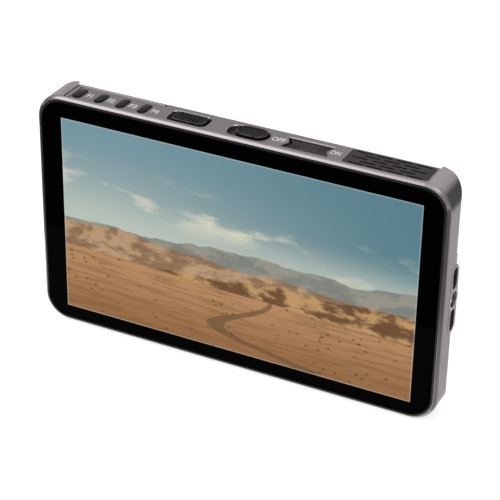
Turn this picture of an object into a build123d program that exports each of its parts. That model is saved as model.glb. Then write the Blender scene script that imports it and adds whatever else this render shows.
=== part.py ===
from build123d import *

import os

# A 5.5 inch camera field monitor: milled housing, bonded front glass, a recessed control deck
# along the top, tripod threads in the bottom and in the right side, sockets in the left side
# and a battery plate on the back. All sizes are in millimetres.
#
# X runs to the right along the front, Y runs back into the body and Z runs up. The origin is
# the mouth of the bottom tripod thread. A depth is counted back from the front rim.

# ------------------------------------------------------------------ driving dimensions

# Housing
BODY_WIDTH = 137.6
BODY_HEIGHT = 80.9
BODY_DEPTH = 12.6
BODY_CORNER_R = 8.7
FRONT_CHAMFER = 0.9
FRONT_EASE_R = 1.1
REAR_EDGE_R = 5.0
SIDE_WALL = 1.9
BOTTOM_WALL = 1.6
DECK_WALL = 1.6
REAR_WALL = 1.5

# Control deck, cut down between the two shoulders and open to the back
DECK_DROP = 0.95
DECK_LIP = 1.25
LEFT_SHOULDER = 8.1
RIGHT_SHOULDER = 7.75
SEAM_WIDTH = 0.3
SEAM_DEPTH = 0.25
SERRATION_WIDTH = 1.8
SERRATION_PITCH = 0.7
SERRATION_CUT = 0.3
SERRATION_DEPTH = 0.15
SERRATION_FRONT = 2.2
SERRATION_COUNT = 13

# Front glass and display
GLASS_RIM = 1.8
GLASS_CORNER_EASE = 0.25
GLASS_THICK = 1.1
GLASS_PROUD = 0.5
GLASS_EDGE_R = 0.25
GASKET_WIDTH = 0.7
GASKET_LIP = 0.6
GASKET_PROUD = 0.1
GLASS_SEAT_DEPTH = 1.0
RING_CLEARANCE = 0.05
LCD_DROP = 0.5
LCD_SIDE_MARGIN = 4.55
LCD_END_MARGIN = 2.35
LCD_THICK = 0.9
LCD_CORNER_R = 1.0
BACKLIGHT_SIDE = 1.2
BACKLIGHT_END = 0.8
BACKLIGHT_THICK = 1.5
BACKLIGHT_CORNER_R = 1.5

# Mid frame that carries the display, the board and the rear cover
FRAME_THICK = 1.0
FRAME_MARGIN = 0.3
FRAME_TOP_GAP = 1.45
FRAME_NOTCH_GAP = 0.3
FRAME_CORNER_R = 6.0
CORNER_BOSS_R = 2.8
CORNER_BOSS_IN = 6.3
CORNER_BOSS_UP = 6.0
CORNER_BOSS_DOWN = 7.0
COVER_POST_R = 2.5
COVER_POST_IN = 5.0

# Main board and what is soldered to it
BOARD_LEFT_GAP = 6.0
BOARD_RIGHT_GAP = 5.0
BOARD_LOW_Z = 13.0
BOARD_TOP_GAP = 3.0
BOARD_STAND = 2.2
BOARD_THICK = 1.2
BOARD_POST_R = 2.2
BOARD_POST_X = 38.0
BOARD_POST_UP = 4.0
BOARD_POST_DOWN = 3.8
CHIP_SIZE = 17.0
CHIP_THICK = 1.3
CHIP_INSET = 53.0
CHIP_SPACE = 1.5
HEATSINK_SIZE = 36.0
HEATSINK_BASE = 0.8
FIN_THICK = 0.8
FIN_COUNT = 10
MEMORY_WIDTH = 9.0
MEMORY_LENGTH = 13.0
MEMORY_THICK = 1.1
MEMORY_COUNT = 2
SHIELD_WIDTH = 24.0
SHIELD_HEIGHT = 20.0
SHIELD_THICK = 1.6
SHIELD_EDGE_R = 0.4

# Sockets in the left side, spaced evenly from the bottom up
PORT_RECESS = 1.0
PORT_GAP = 0.2
PORT_CORNER_R = 0.4
PORT_WALL = 0.4
DC_CLEARANCE = 0.35
DC_LENGTH = 11.0
DC_PIN_R = 1.0
USB_WIDTH = 9.0
USB_THICK = 3.3
USB_LENGTH = 9.0
VIDEO_WIDTH = 14.9
VIDEO_THICK = 5.5
VIDEO_LENGTH = 12.0
VIDEO_CORNER_CUT = 1.4
PHONES_SIZE = 5.4
PHONES_LENGTH = 12.0
PHONES_HOLE_R = 1.8
TONGUE_INSET = 0.8
TONGUE_WIDTH_SHARE = 0.8
TONGUE_THICK_SHARE = 0.25

# Function keys
KEY_WIDTH = 2.85
KEY_LENGTH = 6.6
KEY_PROUD = 0.45
KEY_TRAVEL = 0.4
KEY_PITCH = 7.6
KEY_INSET = 3.8
KEY_REAR_GAP = 0.45
KEY_COUNT = 4
KEY_GAP = 0.15
KEY_FLANGE = 0.7
KEY_EDGE_R = 0.35

# Sliding controls: jog key, lock slider and power slider
CARRIER_THICK = 0.6
CARRIER_LAP = 0.3
CARRIER_REAR_GAP = 0.15
RUN_GAP = 0.1
RIM_BEVEL = 0.22
JOG_SPACE = 6.95
JOG_WELL_LENGTH = 13.45
JOG_WELL_WIDTH = 6.8
JOG_WELL_R = 2.0
JOG_LENGTH = 11.15
JOG_WIDTH = 5.7
JOG_R = 1.6
JOG_SHIFT = 0.4
JOG_PROUD = 0.4
JOG_TRAVEL = 0.6
JOG_RIB_COUNT = 6
JOG_RIB_PITCH = 1.25
JOG_RIB_WIDTH = 0.5
JOG_RIB_DEPTH = 0.3
LOCK_SPACE = 6.5
LOCK_WELL_LENGTH = 13.8
LOCK_WELL_WIDTH = 7.2
LOCK_LENGTH = 10.3
LOCK_WIDTH = 6.3
LOCK_PROUD = 0.75
LOCK_TRAVEL = 2.4
LOCK_RIM = 0.7
LOCK_DISH = 0.15
POWER_SPACE = 4.9
POWER_WELL_LENGTH = 15.4
POWER_WELL_WIDTH = 6.4
POWER_NOTCH = 1.55
POWER_CORNER_R = 0.35
POWER_SUNK = 0.35
POWER_TRAVEL = 1.0
POWER_END_GAP = 0.15
POWER_SIDE_GAP = 0.2
POWER_RIB_COUNT = 3
POWER_RIB_PITCH = 0.9
POWER_RIB_WIDTH = 0.35
POWER_RIB_DEPTH = 0.2

# Switch board under the deck
SWITCH_BOARD_LEFT_GAP = 0.5
SWITCH_BOARD_RIGHT_GAP = 0.1
SWITCH_BOARD_REAR_GAP = 0.25
SWITCH_BOARD_FRONT_GAP = 0.45
SWITCH_BOARD_THICK = 1.0
SWITCH_BOARD_DROP = 4.65
SWITCH_BOSS_R = 1.3
SWITCH_BOSS_SPACE = 0.95
TACT_WIDTH = 3.5
TACT_LENGTH = 4.0
TACT_HEIGHT = 2.5
TACT_PLUNGER_R = 0.8
SLIDE_SWITCH_WIDTH = 5.2
SLIDE_SWITCH_HEIGHT = 3.0
SLIDE_SWITCH_END = 3.2
PEG_R = 0.6
PEG_LENGTH = 2.0
PEG_GAP = 0.15

# Speaker and its grille
GRILLE_SPACE = 4.7
GRILLE_RIGHT_SPACE = 1.15
GRILLE_REAR_SPACE = 0.6
GRILLE_WIDTH = 8.9
GRILLE_CORNER_R = 1.0
GRILLE_THICK = 0.8
GRILLE_GAP = 0.05
GRILLE_END_SEAT = 1.2
GRILLE_SIDE_SEAT = 0.6
GRILLE_ROWS = 5
GRILLE_ROW_MARGIN = 0.73
GRILLE_SLOT_LENGTH = 4.9
GRILLE_SLOT_WIDTH = 0.75
GRILLE_SLOT_PITCH = 6.2
GRILLE_SLOT_MARGIN = 1.5
SPEAKER_LAP = 0.8
SPEAKER_RIGHT_GAP = 0.2
SPEAKER_HEIGHT = 5.5
SPEAKER_CONE_DEPTH = 0.6
SPEAKER_CONE_INSET = 2.4
SPEAKER_CONE_RIM = 0.6

# Tripod mounts: a 1/4 inch thread between two anti-twist pockets
MOUNT_REARWARD = 0.05
THREAD_MINOR_R = 2.6
THREAD_LENGTH = 8.0
INSERT_R = 3.05
INSERT_FLANGE_R = 3.4
INSERT_FLANGE = 1.2
INSERT_END = 0.5
POCKET_LENGTH = 7.15
POCKET_WIDTH = 3.3
POCKET_DEPTH = 3.0
POCKET_WALL = 0.2
MOUNT_PAD_MARGIN = 0.9
MOUNT_PAD_WIDTH = 6.1
MOUNT_PAD_PROUD = 0.05
MOUNT_BLOCK_MARGIN = 2.0
MOUNT_BLOCK_DEEPER = 1.5

# Rear cover
COVER_SIDE_MARGIN = 13.8
COVER_LOW_Z = 10.5
COVER_TOP_MARGIN = 12.4
COVER_CORNER_R = 4.0
COVER_GAP = 0.1
LIP_INSET = 0.3
LIP_LENGTH = 31.5
LIP_ROOT = 8.5
LIP_NOTCH = 0.7
VENT_WIDTH = 1.8
VENT_HEIGHT = 5.0
VENT_PITCH = 4.2
VENT_END_MARGIN = 5.6
VENT_STRIP = 8.0

# Battery plate on the rear cover
PLATE_WIDTH = 85.0
PLATE_END = 5.0
PLATE_BASE = 2.2
PLATE_CORNER_R = 3.0
RAIL_LEFT_INSET = 10.0
RAIL_RIGHT_SPACE = 8.0
RAIL_WALL = 1.6
RAIL_RISE = 4.6
LUG_LENGTH = 8.0
LUG_REACH = 1.4
LUG_THICK = 1.2
LUG_COUNT = 3
TERMINAL_WIDTH = 5.0
TERMINAL_LENGTH = 22.0
TERMINAL_RISE = 4.2
BLADE_LENGTH = 4.5
BLADE_THICK = 0.8
BLADE_WIDTH = 2.4
BLADE_PITCH = 6.5
RELEASE_SPACE = 9.0
RELEASE_WIDTH = 5.0
RELEASE_HEIGHT = 9.0
RELEASE_TRAVEL = 2.2
RELEASE_PROUD_PRESSED = 0.3
RELEASE_GAP = 0.15
RELEASE_FLANGE = 0.8
RELEASE_EDGE_R = 0.5

# Screws
SCREW_CLEARANCE = 0.05
COVER_SCREW_R = 1.2
COVER_SCREW_HEAD_R = 2.1
COVER_SCREW_HEAD = 0.9
COVER_SCREW_LENGTH = 4.5
BOARD_SCREW_R = 0.9
BOARD_SCREW_HEAD_R = 1.8
BOARD_SCREW_HEAD = 0.8
BOARD_SCREW_LENGTH = 2.6
FRAME_SCREW_HEAD = 0.6
FRAME_SCREW_LENGTH = 3.0
SWITCH_SCREW_R = 0.6
SWITCH_SCREW_HEAD_R = 1.2
SWITCH_SCREW_HEAD = 0.7
SWITCH_SCREW_LENGTH = 3.0
PLATE_SCREW_R = 0.95
PLATE_SCREW_HEAD_R = 1.9
PLATE_SCREW_HEAD = 1.0
PLATE_SCREW_X = 24.0
PLATE_SCREW_Z = 12.0
DRIVE_R = 0.5
DRIVE_DEPTH = 0.4
CUT_OVER = 1.0

# ------------------------------------------------------------------ derived planes

MID_Z = BODY_HEIGHT / 2
HALF_WIDTH = BODY_WIDTH / 2
DECK_Z = BODY_HEIGHT - DECK_DROP
DECK_UNDER_Z = DECK_Z - DECK_WALL
DECK_LEFT = -HALF_WIDTH + LEFT_SHOULDER
DECK_RIGHT = HALF_WIDTH - RIGHT_SHOULDER
CAVITY_REAR = BODY_DEPTH - REAR_WALL
CAVITY_HALF = HALF_WIDTH - SIDE_WALL

GLASS_WIDTH = BODY_WIDTH - 2 * GLASS_RIM
GLASS_HEIGHT = BODY_HEIGHT - 2 * GLASS_RIM
GLASS_CORNER_R = BODY_CORNER_R - GLASS_RIM + GLASS_CORNER_EASE
LCD_WIDTH = GLASS_WIDTH - 2 * LCD_SIDE_MARGIN
LCD_HEIGHT = GLASS_HEIGHT - 2 * LCD_END_MARGIN
LCD_MID_Z = MID_Z - LCD_DROP
BACKLIGHT_WIDTH = LCD_WIDTH + 2 * BACKLIGHT_SIDE
BACKLIGHT_HEIGHT = LCD_HEIGHT + 2 * BACKLIGHT_END
LCD_FRONT = GLASS_THICK - GLASS_PROUD
BACKLIGHT_FRONT = LCD_FRONT + LCD_THICK
FRAME_FRONT = BACKLIGHT_FRONT + BACKLIGHT_THICK
FRAME_REAR = FRAME_FRONT + FRAME_THICK
BOARD_FRONT = FRAME_REAR + BOARD_STAND
BOARD_REAR = BOARD_FRONT + BOARD_THICK

MOUNT_DEPTH = (FRAME_REAR + BODY_DEPTH) / 2 + MOUNT_REARWARD
MOUNT_PAD_LENGTH = 2 * (INSERT_FLANGE_R + POCKET_WALL + POCKET_LENGTH + MOUNT_PAD_MARGIN)
INSERT_LENGTH = THREAD_LENGTH + INSERT_END

CORNER_BOSS_X = HALF_WIDTH - CORNER_BOSS_IN
CORNER_BOSS_LOW_Z = CORNER_BOSS_UP
CORNER_BOSS_HIGH_Z = BODY_HEIGHT - CORNER_BOSS_DOWN
CORNER_BOSSES = [(x, z) for x in (-CORNER_BOSS_X, CORNER_BOSS_X)
                 for z in (CORNER_BOSS_LOW_Z, CORNER_BOSS_HIGH_Z)]

COVER_WIDTH = BODY_WIDTH - 2 * COVER_SIDE_MARGIN
COVER_HIGH_Z = BODY_HEIGHT - COVER_TOP_MARGIN
COVER_MID_Z = (COVER_LOW_Z + COVER_HIGH_Z) / 2
COVER_POST_X = COVER_WIDTH / 2 - COVER_POST_IN
COVER_POST_PITCH = (COVER_HIGH_Z - COVER_LOW_Z) / 2 - COVER_POST_IN
COVER_POSTS = [(x, COVER_MID_Z + step * COVER_POST_PITCH)
               for x in (-COVER_POST_X, COVER_POST_X) for step in (-1, 0, 1)]
LIP_LEFT = DECK_LEFT + LIP_INSET
LIP_RIGHT = LIP_LEFT + LIP_LENGTH
LIP_LOW_Z = COVER_HIGH_Z - LIP_ROOT
VENT_COUNT = int((2 * COVER_POST_X - 2 * VENT_END_MARGIN) / VENT_PITCH) + 1

RELEASE_X = COVER_POST_X - RELEASE_SPACE
RELEASE_RISE = RELEASE_TRAVEL + RELEASE_PROUD_PRESSED
PLATE_REAR = BODY_DEPTH + PLATE_BASE
PLATE_RIGHT = RELEASE_X + PLATE_END
PLATE_LEFT = PLATE_RIGHT - PLATE_WIDTH
PLATE_MID_X = (PLATE_LEFT + PLATE_RIGHT) / 2
PLATE_HEIGHT = COVER_HIGH_Z - COVER_LOW_Z - 2 * VENT_STRIP
RAIL_LEFT = PLATE_LEFT + RAIL_LEFT_INSET
RAIL_RIGHT = RELEASE_X - RAIL_RIGHT_SPACE
PLATE_SCREWS = [(PLATE_MID_X + x, COVER_MID_Z + z) for x in (-PLATE_SCREW_X, PLATE_SCREW_X)
                for z in (-PLATE_SCREW_Z, PLATE_SCREW_Z)]

UNDER_DECK_ROOM = CAVITY_REAR - FRAME_REAR - SWITCH_BOARD_REAR_GAP - SWITCH_BOARD_FRONT_GAP
SWITCH_BOARD_WIDTH = UNDER_DECK_ROOM
SPEAKER_WIDTH = UNDER_DECK_ROOM

# Along the deck each control is set from the end of the one before it
CARRIER_TOP_Z = DECK_UNDER_Z - RUN_GAP
CARRIER_LOW_Z = CARRIER_TOP_Z - CARRIER_THICK
CONTROL_DEPTH = CAVITY_REAR - CARRIER_REAR_GAP - CARRIER_LAP - LOCK_WELL_WIDTH / 2
KEY_DEPTH = CAVITY_REAR - KEY_REAR_GAP - KEY_FLANGE - KEY_LENGTH / 2
KEY_FIRST_X = DECK_LEFT + KEY_INSET
KEY_LAST_X = KEY_FIRST_X + (KEY_COUNT - 1) * KEY_PITCH
JOG_X = KEY_LAST_X + KEY_WIDTH / 2 + JOG_SPACE + JOG_WELL_LENGTH / 2
LOCK_X = JOG_X + JOG_WELL_LENGTH / 2 + LOCK_SPACE + LOCK_WELL_LENGTH / 2
POWER_X = LOCK_X + LOCK_WELL_LENGTH / 2 + POWER_SPACE + POWER_WELL_LENGTH / 2
GRILLE_LEFT = POWER_X + POWER_WELL_LENGTH / 2 + GRILLE_SPACE
GRILLE_RIGHT = DECK_RIGHT - GRILLE_RIGHT_SPACE
GRILLE_X = (GRILLE_LEFT + GRILLE_RIGHT) / 2
GRILLE_LENGTH = GRILLE_RIGHT - GRILLE_LEFT
GRILLE_DEPTH = BODY_DEPTH - GRILLE_REAR_SPACE - GRILLE_WIDTH / 2
GRILLE_ROW_PITCH = (GRILLE_WIDTH - 2 * GRILLE_ROW_MARGIN) / (GRILLE_ROWS - 1)
GRILLE_SLOT_SPAN = GRILLE_LENGTH - 2 * GRILLE_SLOT_MARGIN - GRILLE_SLOT_LENGTH
GRILLE_LONG_ROW = int(GRILLE_SLOT_SPAN / GRILLE_SLOT_PITCH) + 1
SPEAKER_DEPTH = CAVITY_REAR - SWITCH_BOARD_REAR_GAP - SPEAKER_WIDTH / 2
SPEAKER_LEFT = GRILLE_LEFT + GRILLE_END_SEAT - SPEAKER_LAP
SPEAKER_RIGHT = CORNER_BOSS_X - CORNER_BOSS_R - SPEAKER_RIGHT_GAP

SWITCH_BOARD_Z = DECK_UNDER_Z - SWITCH_BOARD_DROP
SWITCH_BOARD_DEPTH = CAVITY_REAR - SWITCH_BOARD_REAR_GAP - SWITCH_BOARD_WIDTH / 2
SWITCH_BOARD_LEFT = -CORNER_BOSS_X + CORNER_BOSS_R + SWITCH_BOARD_LEFT_GAP
SWITCH_BOARD_RIGHT = SPEAKER_LEFT - SWITCH_BOARD_RIGHT_GAP
SWITCH_BOSSES = (KEY_FIRST_X + KEY_PITCH / 2,
                 KEY_LAST_X + KEY_WIDTH / 2 + KEY_FLANGE + SWITCH_BOSS_SPACE + SWITCH_BOSS_R,
                 SWITCH_BOARD_RIGHT - SWITCH_BOARD_RIGHT_GAP - SWITCH_BOSS_R)

BOARD_LEFT = -HALF_WIDTH + BOARD_LEFT_GAP
BOARD_RIGHT = COVER_POST_X - BOARD_RIGHT_GAP
BOARD_HIGH_Z = SWITCH_BOARD_Z - SWITCH_BOARD_THICK - BOARD_TOP_GAP
BOARD_POST_LOW_Z = BOARD_LOW_Z + BOARD_POST_UP
BOARD_POST_HIGH_Z = BOARD_HIGH_Z - BOARD_POST_DOWN
BOARD_POSTS = [(x, z) for x in (-BOARD_POST_X, BOARD_POST_X)
               for z in (BOARD_POST_LOW_Z, BOARD_POST_HIGH_Z)]
CHIP_X = BOARD_RIGHT - CHIP_INSET
CHIP_Z = (BOARD_LOW_Z + BOARD_HIGH_Z) / 2
SHIELD_LEFT = CHIP_X + HEATSINK_SIZE / 2 + CHIP_SPACE
SHIELD_LOW_Z = BOARD_POST_LOW_Z + BOARD_SCREW_HEAD_R + CHIP_SPACE
MEMORY_LOW_Z = SHIELD_LOW_Z + SHIELD_HEIGHT + CHIP_SPACE

PORT_DEPTH = (FRAME_REAR + CAVITY_REAR) / 2
PORT_FACE_X = -HALF_WIDTH + PORT_RECESS
DC_SIZE = CAVITY_REAR - FRAME_REAR - 2 * DC_CLEARANCE
DC_HOLE_R = DC_SIZE / 2 - PORT_WALL
LOW_CORNER = (Align.MIN, Align.MIN, Align.MIN)


# ------------------------------------------------------------------ building helpers

def y_at(depth):
    """Y of a depth counted back from the front rim."""
    return depth - MOUNT_DEPTH


def slab(x0, x1, d0, d1, z0, z1):
    """Box between two X values, two depths and two heights."""
    return Pos(x0, y_at(d0), z0) * Box(x1 - x0, d1 - d0, z1 - z0, align=LOW_CORNER)


def from_front(outline, d0, d1):
    """Outline drawn in the front view (X, Z), as a solid between two depths."""
    plane = Plane((0, y_at(d1), 0), x_dir=(1, 0, 0), z_dir=(0, -1, 0))
    return extrude(plane * outline, d1 - d0)


def from_top(outline, z0, z1):
    """Outline drawn in the top view (X, Y), as a solid between two heights."""
    return extrude(Pos(0, 0, z0) * outline, z1 - z0)


def from_left(outline, x0, x1):
    """Outline drawn in the side view (Y, Z), as a solid between two X values."""
    plane = Plane((x0, 0, 0), x_dir=(0, 1, 0), z_dir=(1, 0, 0))
    return extrude(plane * outline, x1 - x0)


def front_plate(width, height, radius, d0, d1, x=0.0, z=MID_Z):
    """Rounded rectangular plate seen from the front, between two depths."""
    return from_front(Pos(x, z) * RectangleRounded(width, height, radius), d0, d1)


def rod(radius, x, z, d0, d1):
    """Round bar along Y between two depths."""
    return from_front(Pos(x, z) * Circle(radius), d0, d1)


def upright(radius, x, depth, z0, z1):
    """Round bar along Z between two heights."""
    return from_top(Pos(x, y_at(depth)) * Circle(radius), z0, z1)


def screw(radius, length, head_radius, head_height):
    """Pan screw along -Z with its head's seat at the origin and a round drive."""
    body = Pos(0, 0, -length / 2) * Cylinder(radius, length)
    head = Pos(0, 0, head_height / 2) * Cylinder(head_radius, head_height)
    drive = Pos(0, 0, head_height) * Cylinder(DRIVE_R, 2 * DRIVE_DEPTH)
    return body + head - drive


def bevelled_cut(outline, wider, z_low):
    """Well through the deck with a small bevel round its rim; both outlines are in (X, Y)."""
    well = from_top(outline, z_low, BODY_HEIGHT)
    rim = extrude(Pos(0, 0, DECK_Z) * wider, -RIM_BEVEL, taper=45)
    return well + rim


# ------------------------------------------------------------------ outlines

def key_outline(index, grow=0.0):
    """Obround function key in the top view, longer from front to back."""
    x = KEY_FIRST_X + index * KEY_PITCH
    return Pos(x, y_at(KEY_DEPTH)) * SlotOverall(
        KEY_LENGTH + 2 * grow, KEY_WIDTH + 2 * grow, rotation=90)


def jog_well(grow=0.0):
    """Rounded rectangular well of the jog key."""
    return Pos(JOG_X, y_at(CONTROL_DEPTH)) * RectangleRounded(
        JOG_WELL_LENGTH + 2 * grow, JOG_WELL_WIDTH + 2 * grow, JOG_WELL_R + grow)


def lock_well(grow=0.0):
    """Round-ended well of the lock slider."""
    return Pos(LOCK_X, y_at(CONTROL_DEPTH)) * SlotOverall(
        LOCK_WELL_LENGTH + 2 * grow, LOCK_WELL_WIDTH + 2 * grow)


def swallowtail(length, width, notch, x):
    """Ribbon outline whose two ends are both notched inward, at a given X."""
    points = [(-length / 2, -width / 2), (length / 2, -width / 2), (length / 2 - notch, 0),
              (length / 2, width / 2), (-length / 2, width / 2), (-length / 2 + notch, 0)]
    ribbon = Polygon(*points, align=None)
    return Pos(x, y_at(CONTROL_DEPTH)) * fillet(ribbon.vertices(), POWER_CORNER_R)


def power_well(grow=0.0):
    """Notched well of the power slider."""
    return swallowtail(POWER_WELL_LENGTH + 2 * grow, POWER_WELL_WIDTH + 2 * grow, POWER_NOTCH,
                       POWER_X)


def grille_outline(grow=0.0):
    """Rounded rectangular speaker grille in the top view."""
    return Pos(GRILLE_X, y_at(GRILLE_DEPTH)) * RectangleRounded(
        GRILLE_LENGTH + 2 * grow, GRILLE_WIDTH + 2 * grow, GRILLE_CORNER_R + grow)


def cover_outline(grow=0.0):
    """Rear cover in the front view: the main plate and the lip that reaches the deck."""
    height = COVER_HIGH_Z - COVER_LOW_Z
    plate = Pos(0, COVER_LOW_Z + height / 2) * RectangleRounded(
        COVER_WIDTH + 2 * grow, height + 2 * grow, COVER_CORNER_R + grow)
    lip_width = LIP_RIGHT - LIP_LEFT + 2 * grow
    lip_height = DECK_Z - LIP_LOW_Z
    lip = Pos((LIP_LEFT + LIP_RIGHT) / 2, LIP_LOW_Z - grow) * Rectangle(
        lip_width, lip_height + grow, align=(Align.CENTER, Align.MIN))
    return plate + lip


# ------------------------------------------------------------------ tripod mounts

def insert_solid():
    """Threaded insert with its mouth at the origin, looking along +Z."""
    flange = Pos(0, 0, -INSERT_FLANGE / 2) * Cylinder(INSERT_FLANGE_R, INSERT_FLANGE)
    barrel = Pos(0, 0, -INSERT_LENGTH / 2) * Cylinder(INSERT_R, INSERT_LENGTH)
    bore = Pos(0, 0, -THREAD_LENGTH / 2) * Cylinder(THREAD_MINOR_R, THREAD_LENGTH)
    return flange + barrel - bore


def mount_cut():
    """What one mount removes: the insert's stepped seat and the pockets beside it, along X."""
    seat = Pos(0, 0, -INSERT_FLANGE / 2) * Cylinder(
        INSERT_FLANGE_R + RING_CLEARANCE, INSERT_FLANGE)
    hole = Pos(0, 0, -INSERT_LENGTH / 2) * Cylinder(INSERT_R + RING_CLEARANCE, INSERT_LENGTH)
    cut = seat + hole
    offset = INSERT_FLANGE_R + POCKET_WALL + POCKET_LENGTH / 2
    for side in (-1, 1):
        pocket = Pos(side * offset, 0) * SlotOverall(POCKET_LENGTH, POCKET_WIDTH)
        cut += extrude(pocket, -POCKET_DEPTH)
    return cut


SIDE_MOUNT = Location(Plane((HALF_WIDTH + MOUNT_PAD_PROUD, 0, MID_Z),
                            x_dir=(0, 0, 1), z_dir=(1, 0, 0)))
BOTTOM_MOUNT = Location(Plane((0, 0, 0), x_dir=(1, 0, 0), z_dir=(0, 0, -1)))


# ------------------------------------------------------------------ housing

def outer_form():
    """Housing block: rounded in the front view, and its two rear side edges rounded in plan."""
    block = front_plate(BODY_WIDTH, BODY_HEIGHT, BODY_CORNER_R, 0, BODY_DEPTH)
    block = chamfer(block.faces().sort_by(Axis.Y)[0].edges(), FRONT_CHAMFER)
    shoulder = block.edges().filter_by_position(Axis.Y, y_at(FRONT_CHAMFER), y_at(FRONT_CHAMFER))
    block = fillet(shoulder, FRONT_EASE_R)
    plan = slab(-HALF_WIDTH, HALF_WIDTH, 0, BODY_DEPTH, 0, BODY_HEIGHT)
    rear_edges = plan.edges().filter_by(Axis.Z).group_by(Axis.Y)[-1]
    return block & fillet(rear_edges, REAR_EDGE_R)


def inner_form():
    """Cavity behind the glass, with walls that follow the outside."""
    height = DECK_UNDER_Z - BOTTOM_WALL
    block = front_plate(2 * CAVITY_HALF, height, BODY_CORNER_R - SIDE_WALL, GLASS_SEAT_DEPTH,
                        CAVITY_REAR, z=BOTTOM_WALL + height / 2)
    plan = slab(-CAVITY_HALF, CAVITY_HALF, GLASS_SEAT_DEPTH, CAVITY_REAR, 0, BODY_HEIGHT)
    rear_edges = plan.edges().filter_by(Axis.Z).group_by(Axis.Y)[-1]
    return block & fillet(rear_edges, REAR_EDGE_R - SIDE_WALL)


def mount_blocks():
    """Solid blocks inside the walls that hold the two threaded inserts."""
    half_length = MOUNT_PAD_LENGTH / 2 + MOUNT_BLOCK_MARGIN
    reach = INSERT_LENGTH + MOUNT_BLOCK_DEEPER
    rear = CAVITY_REAR + REAR_WALL / 2
    side = slab(HALF_WIDTH - reach, HALF_WIDTH - SIDE_WALL / 2, FRAME_REAR, rear,
                MID_Z - half_length, MID_Z + half_length)
    bottom = slab(-half_length, half_length, FRAME_REAR, rear, BOTTOM_WALL / 2, reach)
    return side + bottom


def side_pad():
    """Flush round-ended pad that carries the side mount across the rounded rear edge."""
    outline = Pos(0, MID_Z) * SlotOverall(MOUNT_PAD_LENGTH, MOUNT_PAD_WIDTH, rotation=90)
    ring = Pos(0, MID_Z) * Circle(INSERT_FLANGE_R + RING_CLEARANCE + POCKET_WALL)
    edge = HALF_WIDTH + MOUNT_PAD_PROUD
    return from_left(outline + ring, HALF_WIDTH - INSERT_LENGTH, edge)


def deck_cut():
    """Recess of the control deck with the seam and serrations at its left end."""
    rear = BODY_DEPTH + CUT_OVER
    cut = slab(DECK_LEFT, DECK_RIGHT, DECK_LIP, rear, DECK_Z, BODY_HEIGHT + CUT_OVER)
    cut += slab(DECK_LEFT, DECK_LEFT + SEAM_WIDTH, DECK_LIP, rear, DECK_Z - SEAM_DEPTH,
                DECK_Z + SEAM_DEPTH)
    left = DECK_LEFT + SEAM_WIDTH + SERRATION_CUT
    for index in range(SERRATION_COUNT):
        front = SERRATION_FRONT + index * SERRATION_PITCH
        cut += slab(left, left + SERRATION_WIDTH, front, front + SERRATION_CUT,
                    DECK_Z - SERRATION_DEPTH, DECK_Z + SERRATION_DEPTH)
    return cut


def control_cuts():
    """Openings in the deck for the keys, the sliders and the speaker grille."""
    low = DECK_UNDER_Z - CUT_OVER
    cut = bevelled_cut(jog_well(), jog_well(RIM_BEVEL), low)
    cut += bevelled_cut(lock_well(), lock_well(RIM_BEVEL), low)
    cut += bevelled_cut(power_well(), power_well(RIM_BEVEL), low)
    for index in range(KEY_COUNT):
        cut += from_top(key_outline(index, KEY_GAP), low, BODY_HEIGHT)
    cut += from_top(grille_outline(GRILLE_GAP), DECK_Z - GRILLE_THICK, BODY_HEIGHT)
    sound = Pos(GRILLE_X, y_at(GRILLE_DEPTH)) * Rectangle(
        GRILLE_LENGTH - 2 * GRILLE_END_SEAT, GRILLE_WIDTH - 2 * GRILLE_SIDE_SEAT)
    cut += from_top(sound, low, DECK_Z)
    return cut


def port_cuts():
    """Openings in the left side for the sockets."""
    inner = -HALF_WIDTH + REAR_EDGE_R
    windows = []
    for (width, thick, _), z in zip(PORT_BODIES, PORT_HEIGHTS):
        window = Pos(y_at(PORT_DEPTH), z) * RectangleRounded(
            thick + 2 * PORT_GAP, width + 2 * PORT_GAP, PORT_CORNER_R + PORT_GAP)
        windows.append(from_left(window, -HALF_WIDTH - PORT_GAP, inner))
    return windows


def housing():
    """Milled aluminium housing, open at the front and round the rear cover."""
    solid = outer_form() - inner_form()
    solid -= front_plate(GLASS_WIDTH + 2 * GASKET_WIDTH, GLASS_HEIGHT + 2 * GASKET_WIDTH,
                         GLASS_CORNER_R + GASKET_WIDTH, -CUT_OVER, GLASS_SEAT_DEPTH)
    solid += mount_blocks()
    solid += side_pad() - slab(0, BODY_WIDTH, BODY_DEPTH, 2 * BODY_DEPTH, 0, BODY_HEIGHT)
    for x, z in CORNER_BOSSES:
        solid += rod(CORNER_BOSS_R, x, z, FRAME_REAR, CAVITY_REAR + REAR_WALL / 2)
        solid -= rod(BOARD_SCREW_R + SCREW_CLEARANCE, x, z, FRAME_FRONT,
                     FRAME_FRONT + FRAME_SCREW_HEAD + FRAME_SCREW_LENGTH)
    for x in SWITCH_BOSSES:
        solid += upright(SWITCH_BOSS_R, x, SWITCH_BOARD_DEPTH, SWITCH_BOARD_Z, DECK_Z - DECK_WALL / 2)
        solid -= upright(SWITCH_SCREW_R + SCREW_CLEARANCE, x, SWITCH_BOARD_DEPTH, SWITCH_BOARD_Z,
                         SWITCH_BOARD_Z - SWITCH_BOARD_THICK + SWITCH_SCREW_LENGTH)
    solid -= deck_cut()
    solid -= control_cuts()
    solid -= port_cuts()
    solid -= from_front(cover_outline(COVER_GAP), CAVITY_REAR, BODY_DEPTH + CUT_OVER)
    solid -= SIDE_MOUNT * mount_cut()
    solid -= BOTTOM_MOUNT * mount_cut()
    return solid


# ------------------------------------------------------------------ display stack

def cover_glass():
    """Bonded front glass that stands a little proud of the rim."""
    glass = front_plate(GLASS_WIDTH, GLASS_HEIGHT, GLASS_CORNER_R, -GLASS_PROUD, LCD_FRONT)
    return fillet(glass.faces().sort_by(Axis.Y)[0].edges(), GLASS_EDGE_R)


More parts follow.
